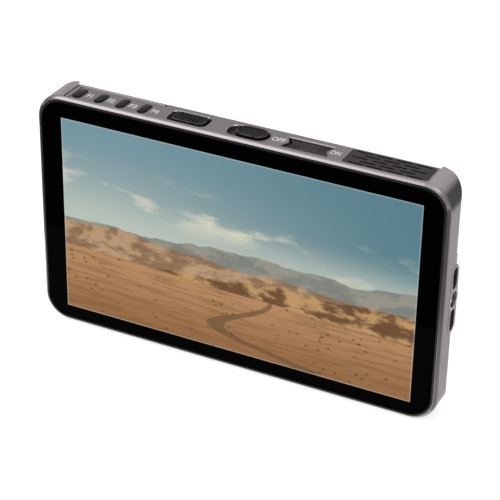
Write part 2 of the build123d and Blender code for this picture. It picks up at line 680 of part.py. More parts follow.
def glass_gasket():
    """Soft ring round the glass, with a lip under its edge."""
    width = GLASS_WIDTH + 2 * GASKET_WIDTH - 2 * RING_CLEARANCE
    height = GLASS_HEIGHT + 2 * GASKET_WIDTH - 2 * RING_CLEARANCE
    ring = front_plate(width, height, GLASS_CORNER_R + GASKET_WIDTH - RING_CLEARANCE,
                       -GASKET_PROUD, GLASS_SEAT_DEPTH)
    ring -= front_plate(GLASS_WIDTH + 2 * RING_CLEARANCE, GLASS_HEIGHT + 2 * RING_CLEARANCE,
                        GLASS_CORNER_R + RING_CLEARANCE, -CUT_OVER, LCD_FRONT)
    ring -= front_plate(GLASS_WIDTH - 2 * GASKET_LIP, GLASS_HEIGHT - 2 * GASKET_LIP,
                        GLASS_CORNER_R - GASKET_LIP, -CUT_OVER, GLASS_SEAT_DEPTH + CUT_OVER)
    return ring


def lcd_panel():
    """Liquid crystal cell behind the glass."""
    return front_plate(LCD_WIDTH, LCD_HEIGHT, LCD_CORNER_R, LCD_FRONT, BACKLIGHT_FRONT,
                       z=LCD_MID_Z)


def backlight():
    """Backlight tray with its light guide."""
    return front_plate(BACKLIGHT_WIDTH, BACKLIGHT_HEIGHT, BACKLIGHT_CORNER_R, BACKLIGHT_FRONT,
                       FRAME_FRONT, z=LCD_MID_Z)


def mid_frame():
    """Stiff plate behind the display, cut back below the switches, with its posts."""
    low = BOTTOM_WALL + FRAME_MARGIN
    high = DECK_UNDER_Z - FRAME_TOP_GAP
    frame = front_plate(2 * (CAVITY_HALF - FRAME_MARGIN), high - low, FRAME_CORNER_R,
                        FRAME_FRONT, FRAME_REAR, z=(low + high) / 2)
    frame -= slab(SWITCH_BOARD_LEFT - FRAME_NOTCH_GAP, SPEAKER_RIGHT + SPEAKER_RIGHT_GAP,
                  FRAME_FRONT, FRAME_REAR,
                  SWITCH_BOARD_Z - SWITCH_BOARD_THICK - FRAME_NOTCH_GAP, high)
    for x, z in COVER_POSTS:
        frame += rod(COVER_POST_R, x, z, FRAME_REAR, CAVITY_REAR)
        frame -= rod(COVER_SCREW_R + SCREW_CLEARANCE, x, z,
                     BODY_DEPTH - COVER_SCREW_HEAD - COVER_SCREW_LENGTH, CAVITY_REAR)
    for x, z in BOARD_POSTS:
        frame += rod(BOARD_POST_R, x, z, FRAME_REAR, BOARD_FRONT)
        frame -= rod(BOARD_SCREW_R + SCREW_CLEARANCE, x, z, BOARD_REAR - BOARD_SCREW_LENGTH,
                     BOARD_FRONT)
    for x, z in CORNER_BOSSES:
        frame -= rod(BOARD_SCREW_HEAD_R + SCREW_CLEARANCE, x, z, FRAME_FRONT,
                     FRAME_FRONT + FRAME_SCREW_HEAD)
        frame -= rod(BOARD_SCREW_R + SCREW_CLEARANCE, x, z, FRAME_FRONT, FRAME_REAR)
    return frame


# ------------------------------------------------------------------ board and sockets

# Width along Z, thickness along Y and length along X of each socket body, from the bottom up
PORT_BODIES = [
    (DC_SIZE, DC_SIZE, DC_LENGTH),
    (USB_WIDTH, USB_THICK, USB_LENGTH),
    (VIDEO_WIDTH, VIDEO_THICK, VIDEO_LENGTH),
    (VIDEO_WIDTH, VIDEO_THICK, VIDEO_LENGTH),
    (PHONES_SIZE, PHONES_SIZE, PHONES_LENGTH),
]


def port_heights():
    """Middle heights of the sockets, spaced evenly between the two left corner bosses."""
    low = CORNER_BOSS_LOW_Z + CORNER_BOSS_R
    room = CORNER_BOSS_HIGH_Z - CORNER_BOSS_R - low
    space = (room - sum(width for width, _, _ in PORT_BODIES)) / (len(PORT_BODIES) + 1)
    heights = []
    for width, _, _ in PORT_BODIES:
        heights.append(low + space + width / 2)
        low += space + width
    return heights


PORT_HEIGHTS = port_heights()
DC_Z, USB_Z, VIDEO_IN_Z, VIDEO_OUT_Z, PHONES_Z = PORT_HEIGHTS


def main_board():
    """Main circuit board with notches for the mid-mounted sockets."""
    board = slab(BOARD_LEFT, BOARD_RIGHT, BOARD_FRONT, BOARD_REAR, BOARD_LOW_Z, BOARD_HIGH_Z)
    for (width, _, length), z in zip(PORT_BODIES, PORT_HEIGHTS):
        end = PORT_FACE_X + length + PORT_GAP
        half = width / 2 + PORT_GAP
        board -= slab(BOARD_LEFT - CUT_OVER, end, BOARD_FRONT, BOARD_REAR, z - half, z + half)
    for x, z in COVER_POSTS:
        board -= rod(COVER_POST_R + PORT_GAP, x, z, BOARD_FRONT, BOARD_REAR)
    for x, z in BOARD_POSTS:
        board -= rod(BOARD_SCREW_R + SCREW_CLEARANCE, x, z, BOARD_FRONT, BOARD_REAR)
    return board


def shell(z, width, thick, length):
    """Plain socket body that lies along X at a height."""
    body = Pos(y_at(PORT_DEPTH), z) * RectangleRounded(thick, width, PORT_CORNER_R)
    return from_left(body, PORT_FACE_X, PORT_FACE_X + length)


def bored_socket(z, size, length, radius):
    """Square socket body with one round hole."""
    hole = Pos(y_at(PORT_DEPTH), z) * Circle(radius)
    return shell(z, size, size, length) - from_left(hole, PORT_FACE_X,
                                                    PORT_FACE_X + length - 2 * PORT_WALL)


def dc_jack():
    """Power socket with its centre pin."""
    pin = Pos(y_at(PORT_DEPTH), DC_Z) * Circle(DC_PIN_R)
    body = bored_socket(DC_Z, DC_SIZE, DC_LENGTH, DC_HOLE_R)
    return body + from_left(pin, PORT_FACE_X + PORT_RECESS, PORT_FACE_X + DC_LENGTH - PORT_WALL)


def headphone_jack():
    """3.5 mm sound socket."""
    return bored_socket(PHONES_Z, PHONES_SIZE, PHONES_LENGTH, PHONES_HOLE_R)


def tongue_socket(z, mouth, width, thick, length):
    """Hollow metal socket with a given mouth outline in (Y, Z) and a contact tongue in it."""
    end = PORT_FACE_X + length - PORT_WALL
    place = Pos(y_at(PORT_DEPTH), z)
    tongue = place * Rectangle(thick * TONGUE_THICK_SHARE, width * TONGUE_WIDTH_SHARE)
    hollow = from_left(place * mouth, PORT_FACE_X, end)
    blade = from_left(tongue, PORT_FACE_X + TONGUE_INSET, end)
    return shell(z, width + 2 * PORT_WALL, thick + 2 * PORT_WALL, length) - hollow + blade


def video_socket(z):
    """Full size video socket, with its two rear corners cut off."""
    width = VIDEO_WIDTH - 2 * PORT_WALL
    thick = VIDEO_THICK - 2 * PORT_WALL
    mouth = Rectangle(thick, width)
    mouth = chamfer(mouth.vertices().group_by(Axis.X)[-1], VIDEO_CORNER_CUT)
    return tongue_socket(z, mouth, width, thick, VIDEO_LENGTH)


def usb_socket():
    """Small reversible data socket."""
    width = USB_WIDTH - 2 * PORT_WALL
    thick = USB_THICK - 2 * PORT_WALL
    mouth = SlotOverall(width, thick, rotation=90)
    return tongue_socket(USB_Z, mouth, width, thick, USB_LENGTH)


def processor():
    """Video processor chip."""
    half = CHIP_SIZE / 2
    return slab(CHIP_X - half, CHIP_X + half, BOARD_REAR, BOARD_REAR + CHIP_THICK,
                CHIP_Z - half, CHIP_Z + half)


def heat_sink():
    """Finned cooler on the processor, just short of the rear cover."""
    half = HEATSINK_SIZE / 2
    low = CHIP_Z - half
    high = CHIP_Z + half
    seat = BOARD_REAR + CHIP_THICK
    sink = slab(CHIP_X - half, CHIP_X + half, seat, seat + HEATSINK_BASE, low, high)
    pitch = (HEATSINK_SIZE - FIN_THICK) / (FIN_COUNT - 1)
    for index in range(FIN_COUNT):
        left = CHIP_X - half + index * pitch
        sink += slab(left, left + FIN_THICK, seat, CAVITY_REAR - RUN_GAP, low, high)
    return sink


def memory_chips():
    """Memory chips side by side above the shield."""
    chips = []
    for index in range(MEMORY_COUNT):
        left = SHIELD_LEFT + index * (MEMORY_WIDTH + CHIP_SPACE)
        chips.append(slab(left, left + MEMORY_WIDTH, BOARD_REAR, BOARD_REAR + MEMORY_THICK,
                          MEMORY_LOW_Z, MEMORY_LOW_Z + MEMORY_LENGTH))
    return Compound(children=chips)


def shield_can():
    """Pressed shield over the radio part of the board."""
    can = slab(SHIELD_LEFT, SHIELD_LEFT + SHIELD_WIDTH, BOARD_REAR, BOARD_REAR + SHIELD_THICK,
               SHIELD_LOW_Z, SHIELD_LOW_Z + SHIELD_HEIGHT)
    return fillet(can.faces().sort_by(Axis.Y)[-1].edges(), SHIELD_EDGE_R)


# ------------------------------------------------------------------ deck controls

def function_key(index):
    """Key cap that stands out of the deck, with a flange that keeps it in."""
    cap = from_top(key_outline(index), CARRIER_LOW_Z, DECK_Z + KEY_PROUD)
    cap = fillet(cap.faces().sort_by(Axis.Z)[-1].edges(), KEY_EDGE_R)
    return cap + from_top(key_outline(index, KEY_FLANGE), CARRIER_LOW_Z, CARRIER_TOP_Z)


def carrier(left, right, well_width, peg_x):
    """Flat plate that slides under the deck, with a peg that drives its switch."""
    half = well_width / 2 + CARRIER_LAP
    plate = slab(left, right, CONTROL_DEPTH - half, CONTROL_DEPTH + half, CARRIER_LOW_Z,
                 CARRIER_TOP_Z)
    return plate + upright(PEG_R, peg_x, CONTROL_DEPTH, CARRIER_LOW_Z - PEG_LENGTH, CARRIER_LOW_Z)


def jog_key():
    """Ribbed jog key, held a little right of its well's middle by springs."""
    top = DECK_Z + JOG_PROUD
    middle = JOG_X + JOG_SHIFT
    outline = Pos(middle, y_at(CONTROL_DEPTH)) * RectangleRounded(JOG_LENGTH, JOG_WIDTH, JOG_R)
    pad = from_top(outline, CARRIER_LOW_Z, top)
    pad = fillet(pad.faces().sort_by(Axis.Z)[-1].edges(), KEY_EDGE_R)
    first = middle - (JOG_RIB_COUNT - 1) / 2 * JOG_RIB_PITCH
    half = JOG_WIDTH / 2 - JOG_RIB_WIDTH
    for index in range(JOG_RIB_COUNT):
        x = first + index * JOG_RIB_PITCH
        pad -= slab(x - JOG_RIB_WIDTH / 2, x + JOG_RIB_WIDTH / 2, CONTROL_DEPTH - half,
                    CONTROL_DEPTH + half, top - JOG_RIB_DEPTH, top + CUT_OVER)
    reach = JOG_WELL_LENGTH / 2 + JOG_TRAVEL + CARRIER_LAP
    return pad + carrier(JOG_X - reach, JOG_X + reach, JOG_WELL_WIDTH, JOG_X)


def lock_slider():
    """Oval slider with a raised rim, resting at the right end of its well."""
    top = DECK_Z + LOCK_PROUD
    x = LOCK_X + LOCK_TRAVEL / 2
    centre = Pos(x, y_at(CONTROL_DEPTH))
    pad = from_top(centre * SlotOverall(LOCK_LENGTH, LOCK_WIDTH), CARRIER_LOW_Z, top)
    pad = fillet(pad.faces().sort_by(Axis.Z)[-1].edges(), KEY_EDGE_R)
    dish = centre * SlotOverall(LOCK_LENGTH - 2 * LOCK_RIM, LOCK_WIDTH - 2 * LOCK_RIM)
    pad -= from_top(dish, top - LOCK_DISH, top + CUT_OVER)
    half = LOCK_WELL_LENGTH / 2 + CARRIER_LAP
    return pad + carrier(LOCK_X - half, LOCK_X + half + LOCK_TRAVEL, LOCK_WELL_WIDTH, x)


def chevron(x, sign, low, high):
    """Thin V groove parallel to one notched end of the power slider."""
    half = POWER_WELL_WIDTH / 2 - 2 * POWER_SIDE_GAP
    depth = POWER_NOTCH * half / (POWER_WELL_WIDTH / 2)
    thick = POWER_RIB_WIDTH
    points = [(0, -half), (thick, -half), (thick - sign * depth, 0), (thick, half), (0, half),
              (-sign * depth, 0)]
    outline = Pos(x, y_at(CONTROL_DEPTH)) * Polygon(*points, align=None)
    return from_top(outline, low, high)


def power_slider():
    """Notched power slider, resting at its right, switched-on end."""
    length = POWER_WELL_LENGTH - POWER_TRAVEL - 2 * POWER_END_GAP
    width = POWER_WELL_WIDTH - 2 * POWER_SIDE_GAP
    x = POWER_X + POWER_TRAVEL / 2
    top = DECK_Z - POWER_SUNK
    pad = from_top(swallowtail(length, width, POWER_NOTCH, x), CARRIER_LOW_Z, top)
    for index in range(POWER_RIB_COUNT):
        inset = (index + 1) * POWER_RIB_PITCH
        right = x + length / 2 - inset - POWER_RIB_WIDTH
        left = x - length / 2 + inset
        pad -= chevron(right, 1, top - POWER_RIB_DEPTH, top + CUT_OVER)
        pad -= chevron(left, -1, top - POWER_RIB_DEPTH, top + CUT_OVER)
    half = POWER_WELL_LENGTH / 2 + CARRIER_LAP
    return pad + carrier(POWER_X - half, POWER_X + half + POWER_TRAVEL, POWER_WELL_WIDTH, x)


def switch_board():
    """Narrow board that hangs under the deck and carries the switches."""
    front = SWITCH_BOARD_DEPTH - SWITCH_BOARD_WIDTH / 2
    low = SWITCH_BOARD_Z - SWITCH_BOARD_THICK
    board = slab(SWITCH_BOARD_LEFT, SWITCH_BOARD_RIGHT, front, front + SWITCH_BOARD_WIDTH, low,
                 SWITCH_BOARD_Z)
    for x in SWITCH_BOSSES:
        board -= upright(SWITCH_SCREW_R + SCREW_CLEARANCE, x, SWITCH_BOARD_DEPTH, low,
                         SWITCH_BOARD_Z)
    return board


def tact_switches():
    """Push switches under the function keys."""
    switches = []
    plunger_top = CARRIER_LOW_Z - KEY_TRAVEL - RUN_GAP
    for index in range(KEY_COUNT):
        x = KEY_FIRST_X + index * KEY_PITCH
        body = slab(x - TACT_WIDTH / 2, x + TACT_WIDTH / 2, KEY_DEPTH - TACT_LENGTH / 2,
                    KEY_DEPTH + TACT_LENGTH / 2, SWITCH_BOARD_Z, SWITCH_BOARD_Z + TACT_HEIGHT)
        switches.append(body + upright(TACT_PLUNGER_R, x, KEY_DEPTH,
                                       SWITCH_BOARD_Z + TACT_HEIGHT, plunger_top))
    return Compound(children=switches)


def slide_switch(peg_low_x, peg_high_x):
    """Switch body with a slot for the driving peg's whole travel."""
    half = SLIDE_SWITCH_WIDTH / 2
    body = slab(peg_low_x - SLIDE_SWITCH_END, peg_high_x + SLIDE_SWITCH_END, CONTROL_DEPTH - half,
                CONTROL_DEPTH + half, SWITCH_BOARD_Z, SWITCH_BOARD_Z + SLIDE_SWITCH_HEIGHT)
    middle = (peg_low_x + peg_high_x) / 2
    length = peg_high_x - peg_low_x + 2 * (PEG_R + PEG_GAP)
    slot = Pos(middle, y_at(CONTROL_DEPTH)) * SlotOverall(length, 2 * (PEG_R + PEG_GAP))
    bottom = CARRIER_LOW_Z - PEG_LENGTH - RUN_GAP
    return body - from_top(slot, bottom, DECK_UNDER_Z)


def jog_switch():
    """Three-way switch under the jog key."""
    return slide_switch(JOG_X - JOG_TRAVEL, JOG_X + JOG_TRAVEL)


def lock_switch():
    """Two-way switch under the lock slider."""
    rest = LOCK_X + LOCK_TRAVEL / 2
    return slide_switch(rest - LOCK_TRAVEL, rest)


def power_switch():
    """Power switch under the power slider."""
    rest = POWER_X + POWER_TRAVEL / 2
    return slide_switch(rest - POWER_TRAVEL, rest)


# ------------------------------------------------------------------ speaker

def speaker_grille():
    """Slotted plate let into the deck over the speaker."""
    plate = from_top(grille_outline(), DECK_Z - GRILLE_THICK, DECK_Z)
    for row in range(GRILLE_ROWS):
        count = GRILLE_LONG_ROW - row % 2
        depth = GRILLE_DEPTH + (row - (GRILLE_ROWS - 1) / 2) * GRILLE_ROW_PITCH
        for column in range(count):
            x = GRILLE_X + (column - (count - 1) / 2) * GRILLE_SLOT_PITCH
            slot = Pos(x, y_at(depth)) * SlotOverall(GRILLE_SLOT_LENGTH, GRILLE_SLOT_WIDTH)
            plate -= from_top(slot, DECK_Z - GRILLE_THICK, DECK_Z)
    return plate


def speaker():
    """Small box speaker pressed against the underside of the deck."""
    front = SPEAKER_DEPTH - SPEAKER_WIDTH / 2
    box = slab(SPEAKER_LEFT, SPEAKER_RIGHT, front, front + SPEAKER_WIDTH,
               DECK_UNDER_Z - SPEAKER_HEIGHT, DECK_UNDER_Z)
    cone = Pos((SPEAKER_LEFT + SPEAKER_RIGHT) / 2, y_at(SPEAKER_DEPTH)) * SlotOverall(
        SPEAKER_RIGHT - SPEAKER_LEFT - 2 * SPEAKER_CONE_INSET,
        SPEAKER_WIDTH - 2 * SPEAKER_CONE_RIM)
    return box - from_top(cone, DECK_UNDER_Z - SPEAKER_CONE_DEPTH, DECK_UNDER_Z)


# ------------------------------------------------------------------ back

def rear_cover():
    """Rear cover with two rows of vents and the lip that reaches up to the deck."""
    cover = from_front(cover_outline(), CAVITY_REAR, BODY_DEPTH)
    for x, z in COVER_POSTS:
        cover -= rod(COVER_SCREW_R + SCREW_CLEARANCE, x, z, CAVITY_REAR, BODY_DEPTH)
        cover -= rod(COVER_SCREW_HEAD_R + SCREW_CLEARANCE, x, z, BODY_DEPTH - COVER_SCREW_HEAD,
                     BODY_DEPTH)
    for x, z in PLATE_SCREWS:
        cover -= rod(PLATE_SCREW_R + SCREW_CLEARANCE, x, z, CAVITY_REAR, BODY_DEPTH)
    low = (COVER_LOW_Z + COVER_MID_Z - PLATE_HEIGHT / 2) / 2
    high = (COVER_HIGH_Z + COVER_MID_Z + PLATE_HEIGHT / 2) / 2
    for z in (low, high):
        for index in range(VENT_COUNT):
            x = (index - (VENT_COUNT - 1) / 2) * VENT_PITCH
            slot = Pos(x, z) * SlotOverall(VENT_HEIGHT, VENT_WIDTH, rotation=90)
            cover -= from_front(slot, CAVITY_REAR, BODY_DEPTH)
    cover -= slab(LIP_RIGHT - LIP_NOTCH, LIP_RIGHT, CAVITY_REAR, BODY_DEPTH, DECK_Z - LIP_NOTCH,
                  DECK_Z)
    cover -= release_window(RELEASE_GAP, CAVITY_REAR, BODY_DEPTH)
    return cover


def release_window(grow, d0, d1):
    """Rectangular passage of the battery release button."""
    return front_plate(RELEASE_WIDTH + 2 * grow, RELEASE_HEIGHT + 2 * grow, RELEASE_EDGE_R + grow,
                       d0, d1, x=RELEASE_X, z=COVER_MID_Z)


def battery_plate():
    """Slide-in battery plate: a base, two rails and three lugs on each rail."""
    base = front_plate(PLATE_WIDTH, PLATE_HEIGHT, PLATE_CORNER_R, BODY_DEPTH, PLATE_REAR,
                       x=PLATE_MID_X, z=COVER_MID_Z)
    rail_top = PLATE_REAR + RAIL_RISE
    lug_pitch = (RAIL_RIGHT - RAIL_LEFT - LUG_LENGTH) / (LUG_COUNT - 1)
    for side in (-1, 1):
        outer = COVER_MID_Z + side * PLATE_HEIGHT / 2
        inner = outer - side * RAIL_WALL
        reach = inner - side * LUG_REACH
        base += slab(RAIL_LEFT, RAIL_RIGHT, BODY_DEPTH, rail_top, min(outer, inner),
                     max(outer, inner))
        for index in range(LUG_COUNT):
            left = RAIL_LEFT + index * lug_pitch
            base += slab(left, left + LUG_LENGTH, rail_top - LUG_THICK, rail_top,
                         min(outer, reach), max(outer, reach))
    for x, z in PLATE_SCREWS:
        base -= rod(PLATE_SCREW_R + SCREW_CLEARANCE, x, z, BODY_DEPTH, PLATE_REAR)
        base -= rod(PLATE_SCREW_HEAD_R + SCREW_CLEARANCE, x, z, PLATE_REAR - PLATE_SCREW_HEAD,
                    PLATE_REAR)
    return base - release_window(RELEASE_GAP, BODY_DEPTH, PLATE_REAR)


def terminal_block():
    """Insulating block that holds the battery contacts."""
    return slab(RAIL_LEFT, RAIL_LEFT + TERMINAL_WIDTH, PLATE_REAR, PLATE_REAR + TERMINAL_RISE,
                COVER_MID_Z - TERMINAL_LENGTH / 2, COVER_MID_Z + TERMINAL_LENGTH / 2)


def battery_contacts():
    """Three contact blades that stand out of the terminal block."""
    blades = []
    x0 = RAIL_LEFT + TERMINAL_WIDTH
    d0 = PLATE_REAR + (TERMINAL_RISE - BLADE_WIDTH) / 2
    for step in (-1, 0, 1):
        z = COVER_MID_Z + step * BLADE_PITCH
        blades.append(slab(x0, x0 + BLADE_LENGTH, d0, d0 + BLADE_WIDTH, z - BLADE_THICK / 2,
                           z + BLADE_THICK / 2))
    return Compound(children=blades)


def battery_release():
    """Sprung stop behind the battery's end; pressing it lets the battery slide off."""
    button = release_window(0, CAVITY_REAR - RUN_GAP - RELEASE_FLANGE, PLATE_REAR + RELEASE_RISE)
    button = fillet(button.faces().sort_by(Axis.Y)[-1].edges(), RELEASE_EDGE_R)
    flange = front_plate(RELEASE_WIDTH + 2 * RELEASE_FLANGE, RELEASE_HEIGHT + 2 * RELEASE_FLANGE,
                         RELEASE_EDGE_R, CAVITY_REAR - RUN_GAP - RELEASE_FLANGE,
                         CAVITY_REAR - RUN_GAP, x=RELEASE_X, z=COVER_MID_Z)
    return button + flange


# ------------------------------------------------------------------ screws

REARWARD = Rot(-90, 0, 0)
FORWARD = Rot(90, 0, 0)
DOWNWARD = Rot(180, 0, 0)


def placed(template, turn, places):
    """Copies of one screw, turned and set at (X, depth, Z) places."""
    return Compound(children=[Pos(x, y_at(d), z) * turn * template for x, d, z in places])


def cover_screws():
    """Screws that hold the rear cover to the mid frame's posts."""
    template = screw(COVER_SCREW_R, COVER_SCREW_LENGTH, COVER_SCREW_HEAD_R, COVER_SCREW_HEAD)
    seat = BODY_DEPTH - COVER_SCREW_HEAD
    return placed(template, REARWARD, [(x, seat, z) for x, z in COVER_POSTS])


def board_screws():
    """Screws that hold the main board."""
    template = screw(BOARD_SCREW_R, BOARD_SCREW_LENGTH, BOARD_SCREW_HEAD_R, BOARD_SCREW_HEAD)
    return placed(template, REARWARD, [(x, BOARD_REAR, z) for x, z in BOARD_POSTS])


def frame_screws():
    """Flat screws that hold the mid frame to the housing's corner bosses."""
    template = screw(BOARD_SCREW_R, FRAME_SCREW_LENGTH, BOARD_SCREW_HEAD_R, FRAME_SCREW_HEAD)
    seat = FRAME_FRONT + FRAME_SCREW_HEAD
    return placed(template, FORWARD, [(x, seat, z) for x, z in CORNER_BOSSES])


def switch_board_screws():
    """Screws that hang the switch board from the deck's bosses."""
    template = screw(SWITCH_SCREW_R, SWITCH_SCREW_LENGTH, SWITCH_SCREW_HEAD_R, SWITCH_SCREW_HEAD)
    low = SWITCH_BOARD_Z - SWITCH_BOARD_THICK
    return placed(template, DOWNWARD, [(x, SWITCH_BOARD_DEPTH, low) for x in SWITCH_BOSSES])


def plate_screws():
    """Screws that hold the battery plate to the rear cover."""
    length = PLATE_BASE - PLATE_SCREW_HEAD + REAR_WALL
    template = screw(PLATE_SCREW_R, length, PLATE_SCREW_HEAD_R, PLATE_SCREW_HEAD)
    seat = PLATE_REAR - PLATE_SCREW_HEAD
    return placed(template, REARWARD, [(x, seat, z) for x, z in PLATE_SCREWS])


# ------------------------------------------------------------------ assembly

def assembly():
    """Every piece of the monitor under its name."""
    pieces = {
        "housing": housing(),
        "cover_glass": cover_glass(),
        "glass_gasket": glass_gasket(),
        "lcd_panel": lcd_panel(),
        "backlight": backlight(),
        "mid_frame": mid_frame(),
        "main_board": main_board(),
        "processor": processor(),
        "heat_sink": heat_sink(),
        "memory_chips": memory_chips(),
        "shield_can": shield_can(),
        "dc_jack": dc_jack(),
        "usb_socket": usb_socket(),
        "video_in_socket": video_socket(VIDEO_IN_Z),
        "video_out_socket": video_socket(VIDEO_OUT_Z),
        "headphone_jack": headphone_jack(),
        "jog_key": jog_key(),
        "lock_slider": lock_slider(),
        "power_slider": power_slider(),
        "switch_board": switch_board(),
        "tact_switches": tact_switches(),
        "jog_switch": jog_switch(),
        "lock_switch": lock_switch(),
        "power_switch": power_switch(),
        "speaker_grille": speaker_grille(),
        "speaker": speaker(),
        "side_insert": SIDE_MOUNT * insert_solid(),
        "bottom_insert": BOTTOM_MOUNT * insert_solid(),
        "rear_cover": rear_cover(),
        "battery_plate": battery_plate(),
        "terminal_block": terminal_block(),
        "battery_contacts": battery_contacts(),
        "battery_release": battery_release(),
        "cover_screws": cover_screws(),
        "board_screws": board_screws(),
        "frame_screws": frame_screws(),
        "switch_board_screws": switch_board_screws(),
        "plate_screws": plate_screws(),
    }
    for index in range(KEY_COUNT):
        pieces[f"key_f{index + 1}"] = function_key(index)
    return pieces


def main():
    os.makedirs("parts", exist_ok=True)
    for name, shape in assembly().items():
        export_step(shape, f"parts/{name}.step")


main()
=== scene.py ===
"""Looks of a 5.5 inch camera field monitor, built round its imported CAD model.

Sizes in the classes are millimetres, as in the CAD. X runs right along the front, Y runs back into
the body and Z runs up. A depth is counted back from the front rim.
"""

import logging
import math
from dataclasses import dataclass, field
from enum import Enum
from typing import ClassVar, Union

import bmesh
import bpy
import numpy as np
from mathutils import Matrix, Vector


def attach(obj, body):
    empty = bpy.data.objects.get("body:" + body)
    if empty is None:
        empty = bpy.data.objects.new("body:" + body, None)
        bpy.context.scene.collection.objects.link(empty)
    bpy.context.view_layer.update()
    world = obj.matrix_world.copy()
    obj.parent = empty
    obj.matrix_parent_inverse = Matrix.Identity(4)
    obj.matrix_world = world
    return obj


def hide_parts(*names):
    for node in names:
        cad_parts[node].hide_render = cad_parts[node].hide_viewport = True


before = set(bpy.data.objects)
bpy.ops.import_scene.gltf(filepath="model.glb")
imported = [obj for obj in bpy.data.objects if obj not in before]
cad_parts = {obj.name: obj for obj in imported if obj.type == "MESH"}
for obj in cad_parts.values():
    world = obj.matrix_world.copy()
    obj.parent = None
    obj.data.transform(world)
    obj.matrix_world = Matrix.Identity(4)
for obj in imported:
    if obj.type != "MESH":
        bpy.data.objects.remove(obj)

MM = 0.001
FRONT_RIM = -8.35
DECK_Z = 79.95
MID_Z = 40.45
BLACK = (0.0, 0.0, 0.0, 1.0)

Pair = tuple[float, float]
Triple = tuple[float, float, float]
Colour = tuple[float, float, float, float]
Value = Union["Pattern", float, tuple[float, ...]]
Inputs = dict[Union[int, str], Value]
Material = bpy.types.Material
Piece = bpy.types.Object
log = logging.getLogger("monitor")


def y_at(depth: float) -> float:
    """Y of a depth counted back from the front rim, both in millimetres."""
    return FRONT_RIM + depth


def tone(*shown: float) -> Colour:
    """Linear opaque colour of three display values.

    Args:
        shown: Display values of red, green and blue, from 0 to 255.

    Returns:
        The linear colour.
    """
    share = np.array(shown) / 255.0
    linear = np.where(share <= 0.04045, share / 12.92, ((share + 0.055) / 1.055) ** 2.4)
    return (*linear.tolist(), 1.0)


# ---------------------------------------------------------------- node graphs

class Pattern:
    """A number, vector or colour that varies over a surface, whose operators add nodes.

    Args:
        graph: Graph that holds the nodes.
        socket: Output socket that gives the value.
    """

    def __init__(self, graph: "Graph", socket: bpy.types.NodeSocket) -> None:
        """Keeps the graph and the socket."""
        self.graph = graph
        self.socket = socket

    def __add__(self, other: Value) -> "Pattern":
        """Sum of two numbers."""
        return self.graph.math("ADD", self, other)

    def __sub__(self, other: Value) -> "Pattern":
        """Difference of two numbers."""
        return self.graph.math("SUBTRACT", self, other)

    def __rsub__(self, other: float) -> "Pattern":
        """Difference, where the first number is a constant."""
        return self.graph.math("SUBTRACT", other, self)

    def __mul__(self, other: Value) -> "Pattern":
        """Product of two numbers."""
        return self.graph.math("MULTIPLY", self, other)

    def __truediv__(self, other: Value) -> "Pattern":
        """Quotient of two numbers."""
        return self.graph.math("DIVIDE", self, other)

    def __lt__(self, other: Value) -> "Pattern":
        """1 where it is less than another number, else 0."""
        return self.graph.math("LESS_THAN", self, other)

    def __gt__(self, other: Value) -> "Pattern":
        """1 where it is more than another number, else 0."""
        return self.graph.math("GREATER_THAN", self, other)

    def __abs__(self) -> "Pattern":
        """The number without its sign."""
        return self.graph.math("ABSOLUTE", self)

    def sine(self) -> "Pattern":
        """Sine of the number, in radians."""
        return self.graph.math("SINE", self)

    def clamped(self) -> "Pattern":
        """The number held between 0 and 1."""
        return self.graph.math("ADD", self, 0.0, clamp=True)

    def near(self, middle: float, reach: float) -> "Pattern":
        """1 within a reach of a middle value, else 0."""
        return self.graph.math("COMPARE", self, middle, reach)

    def between(self, low: float, high: float) -> "Pattern":
        """1 between two values, else 0."""
        return (self > low) * (self < high)

    def step(self, low: float, high: float) -> "Pattern":
        """Smooth rise from 0 at the low value to 1 at the high one."""
        inputs = {"Value": self, "From Min": low, "From Max": high}
        return self.graph.give("ShaderNodeMapRange", 0, inputs, interpolation_type="SMOOTHSTEP")


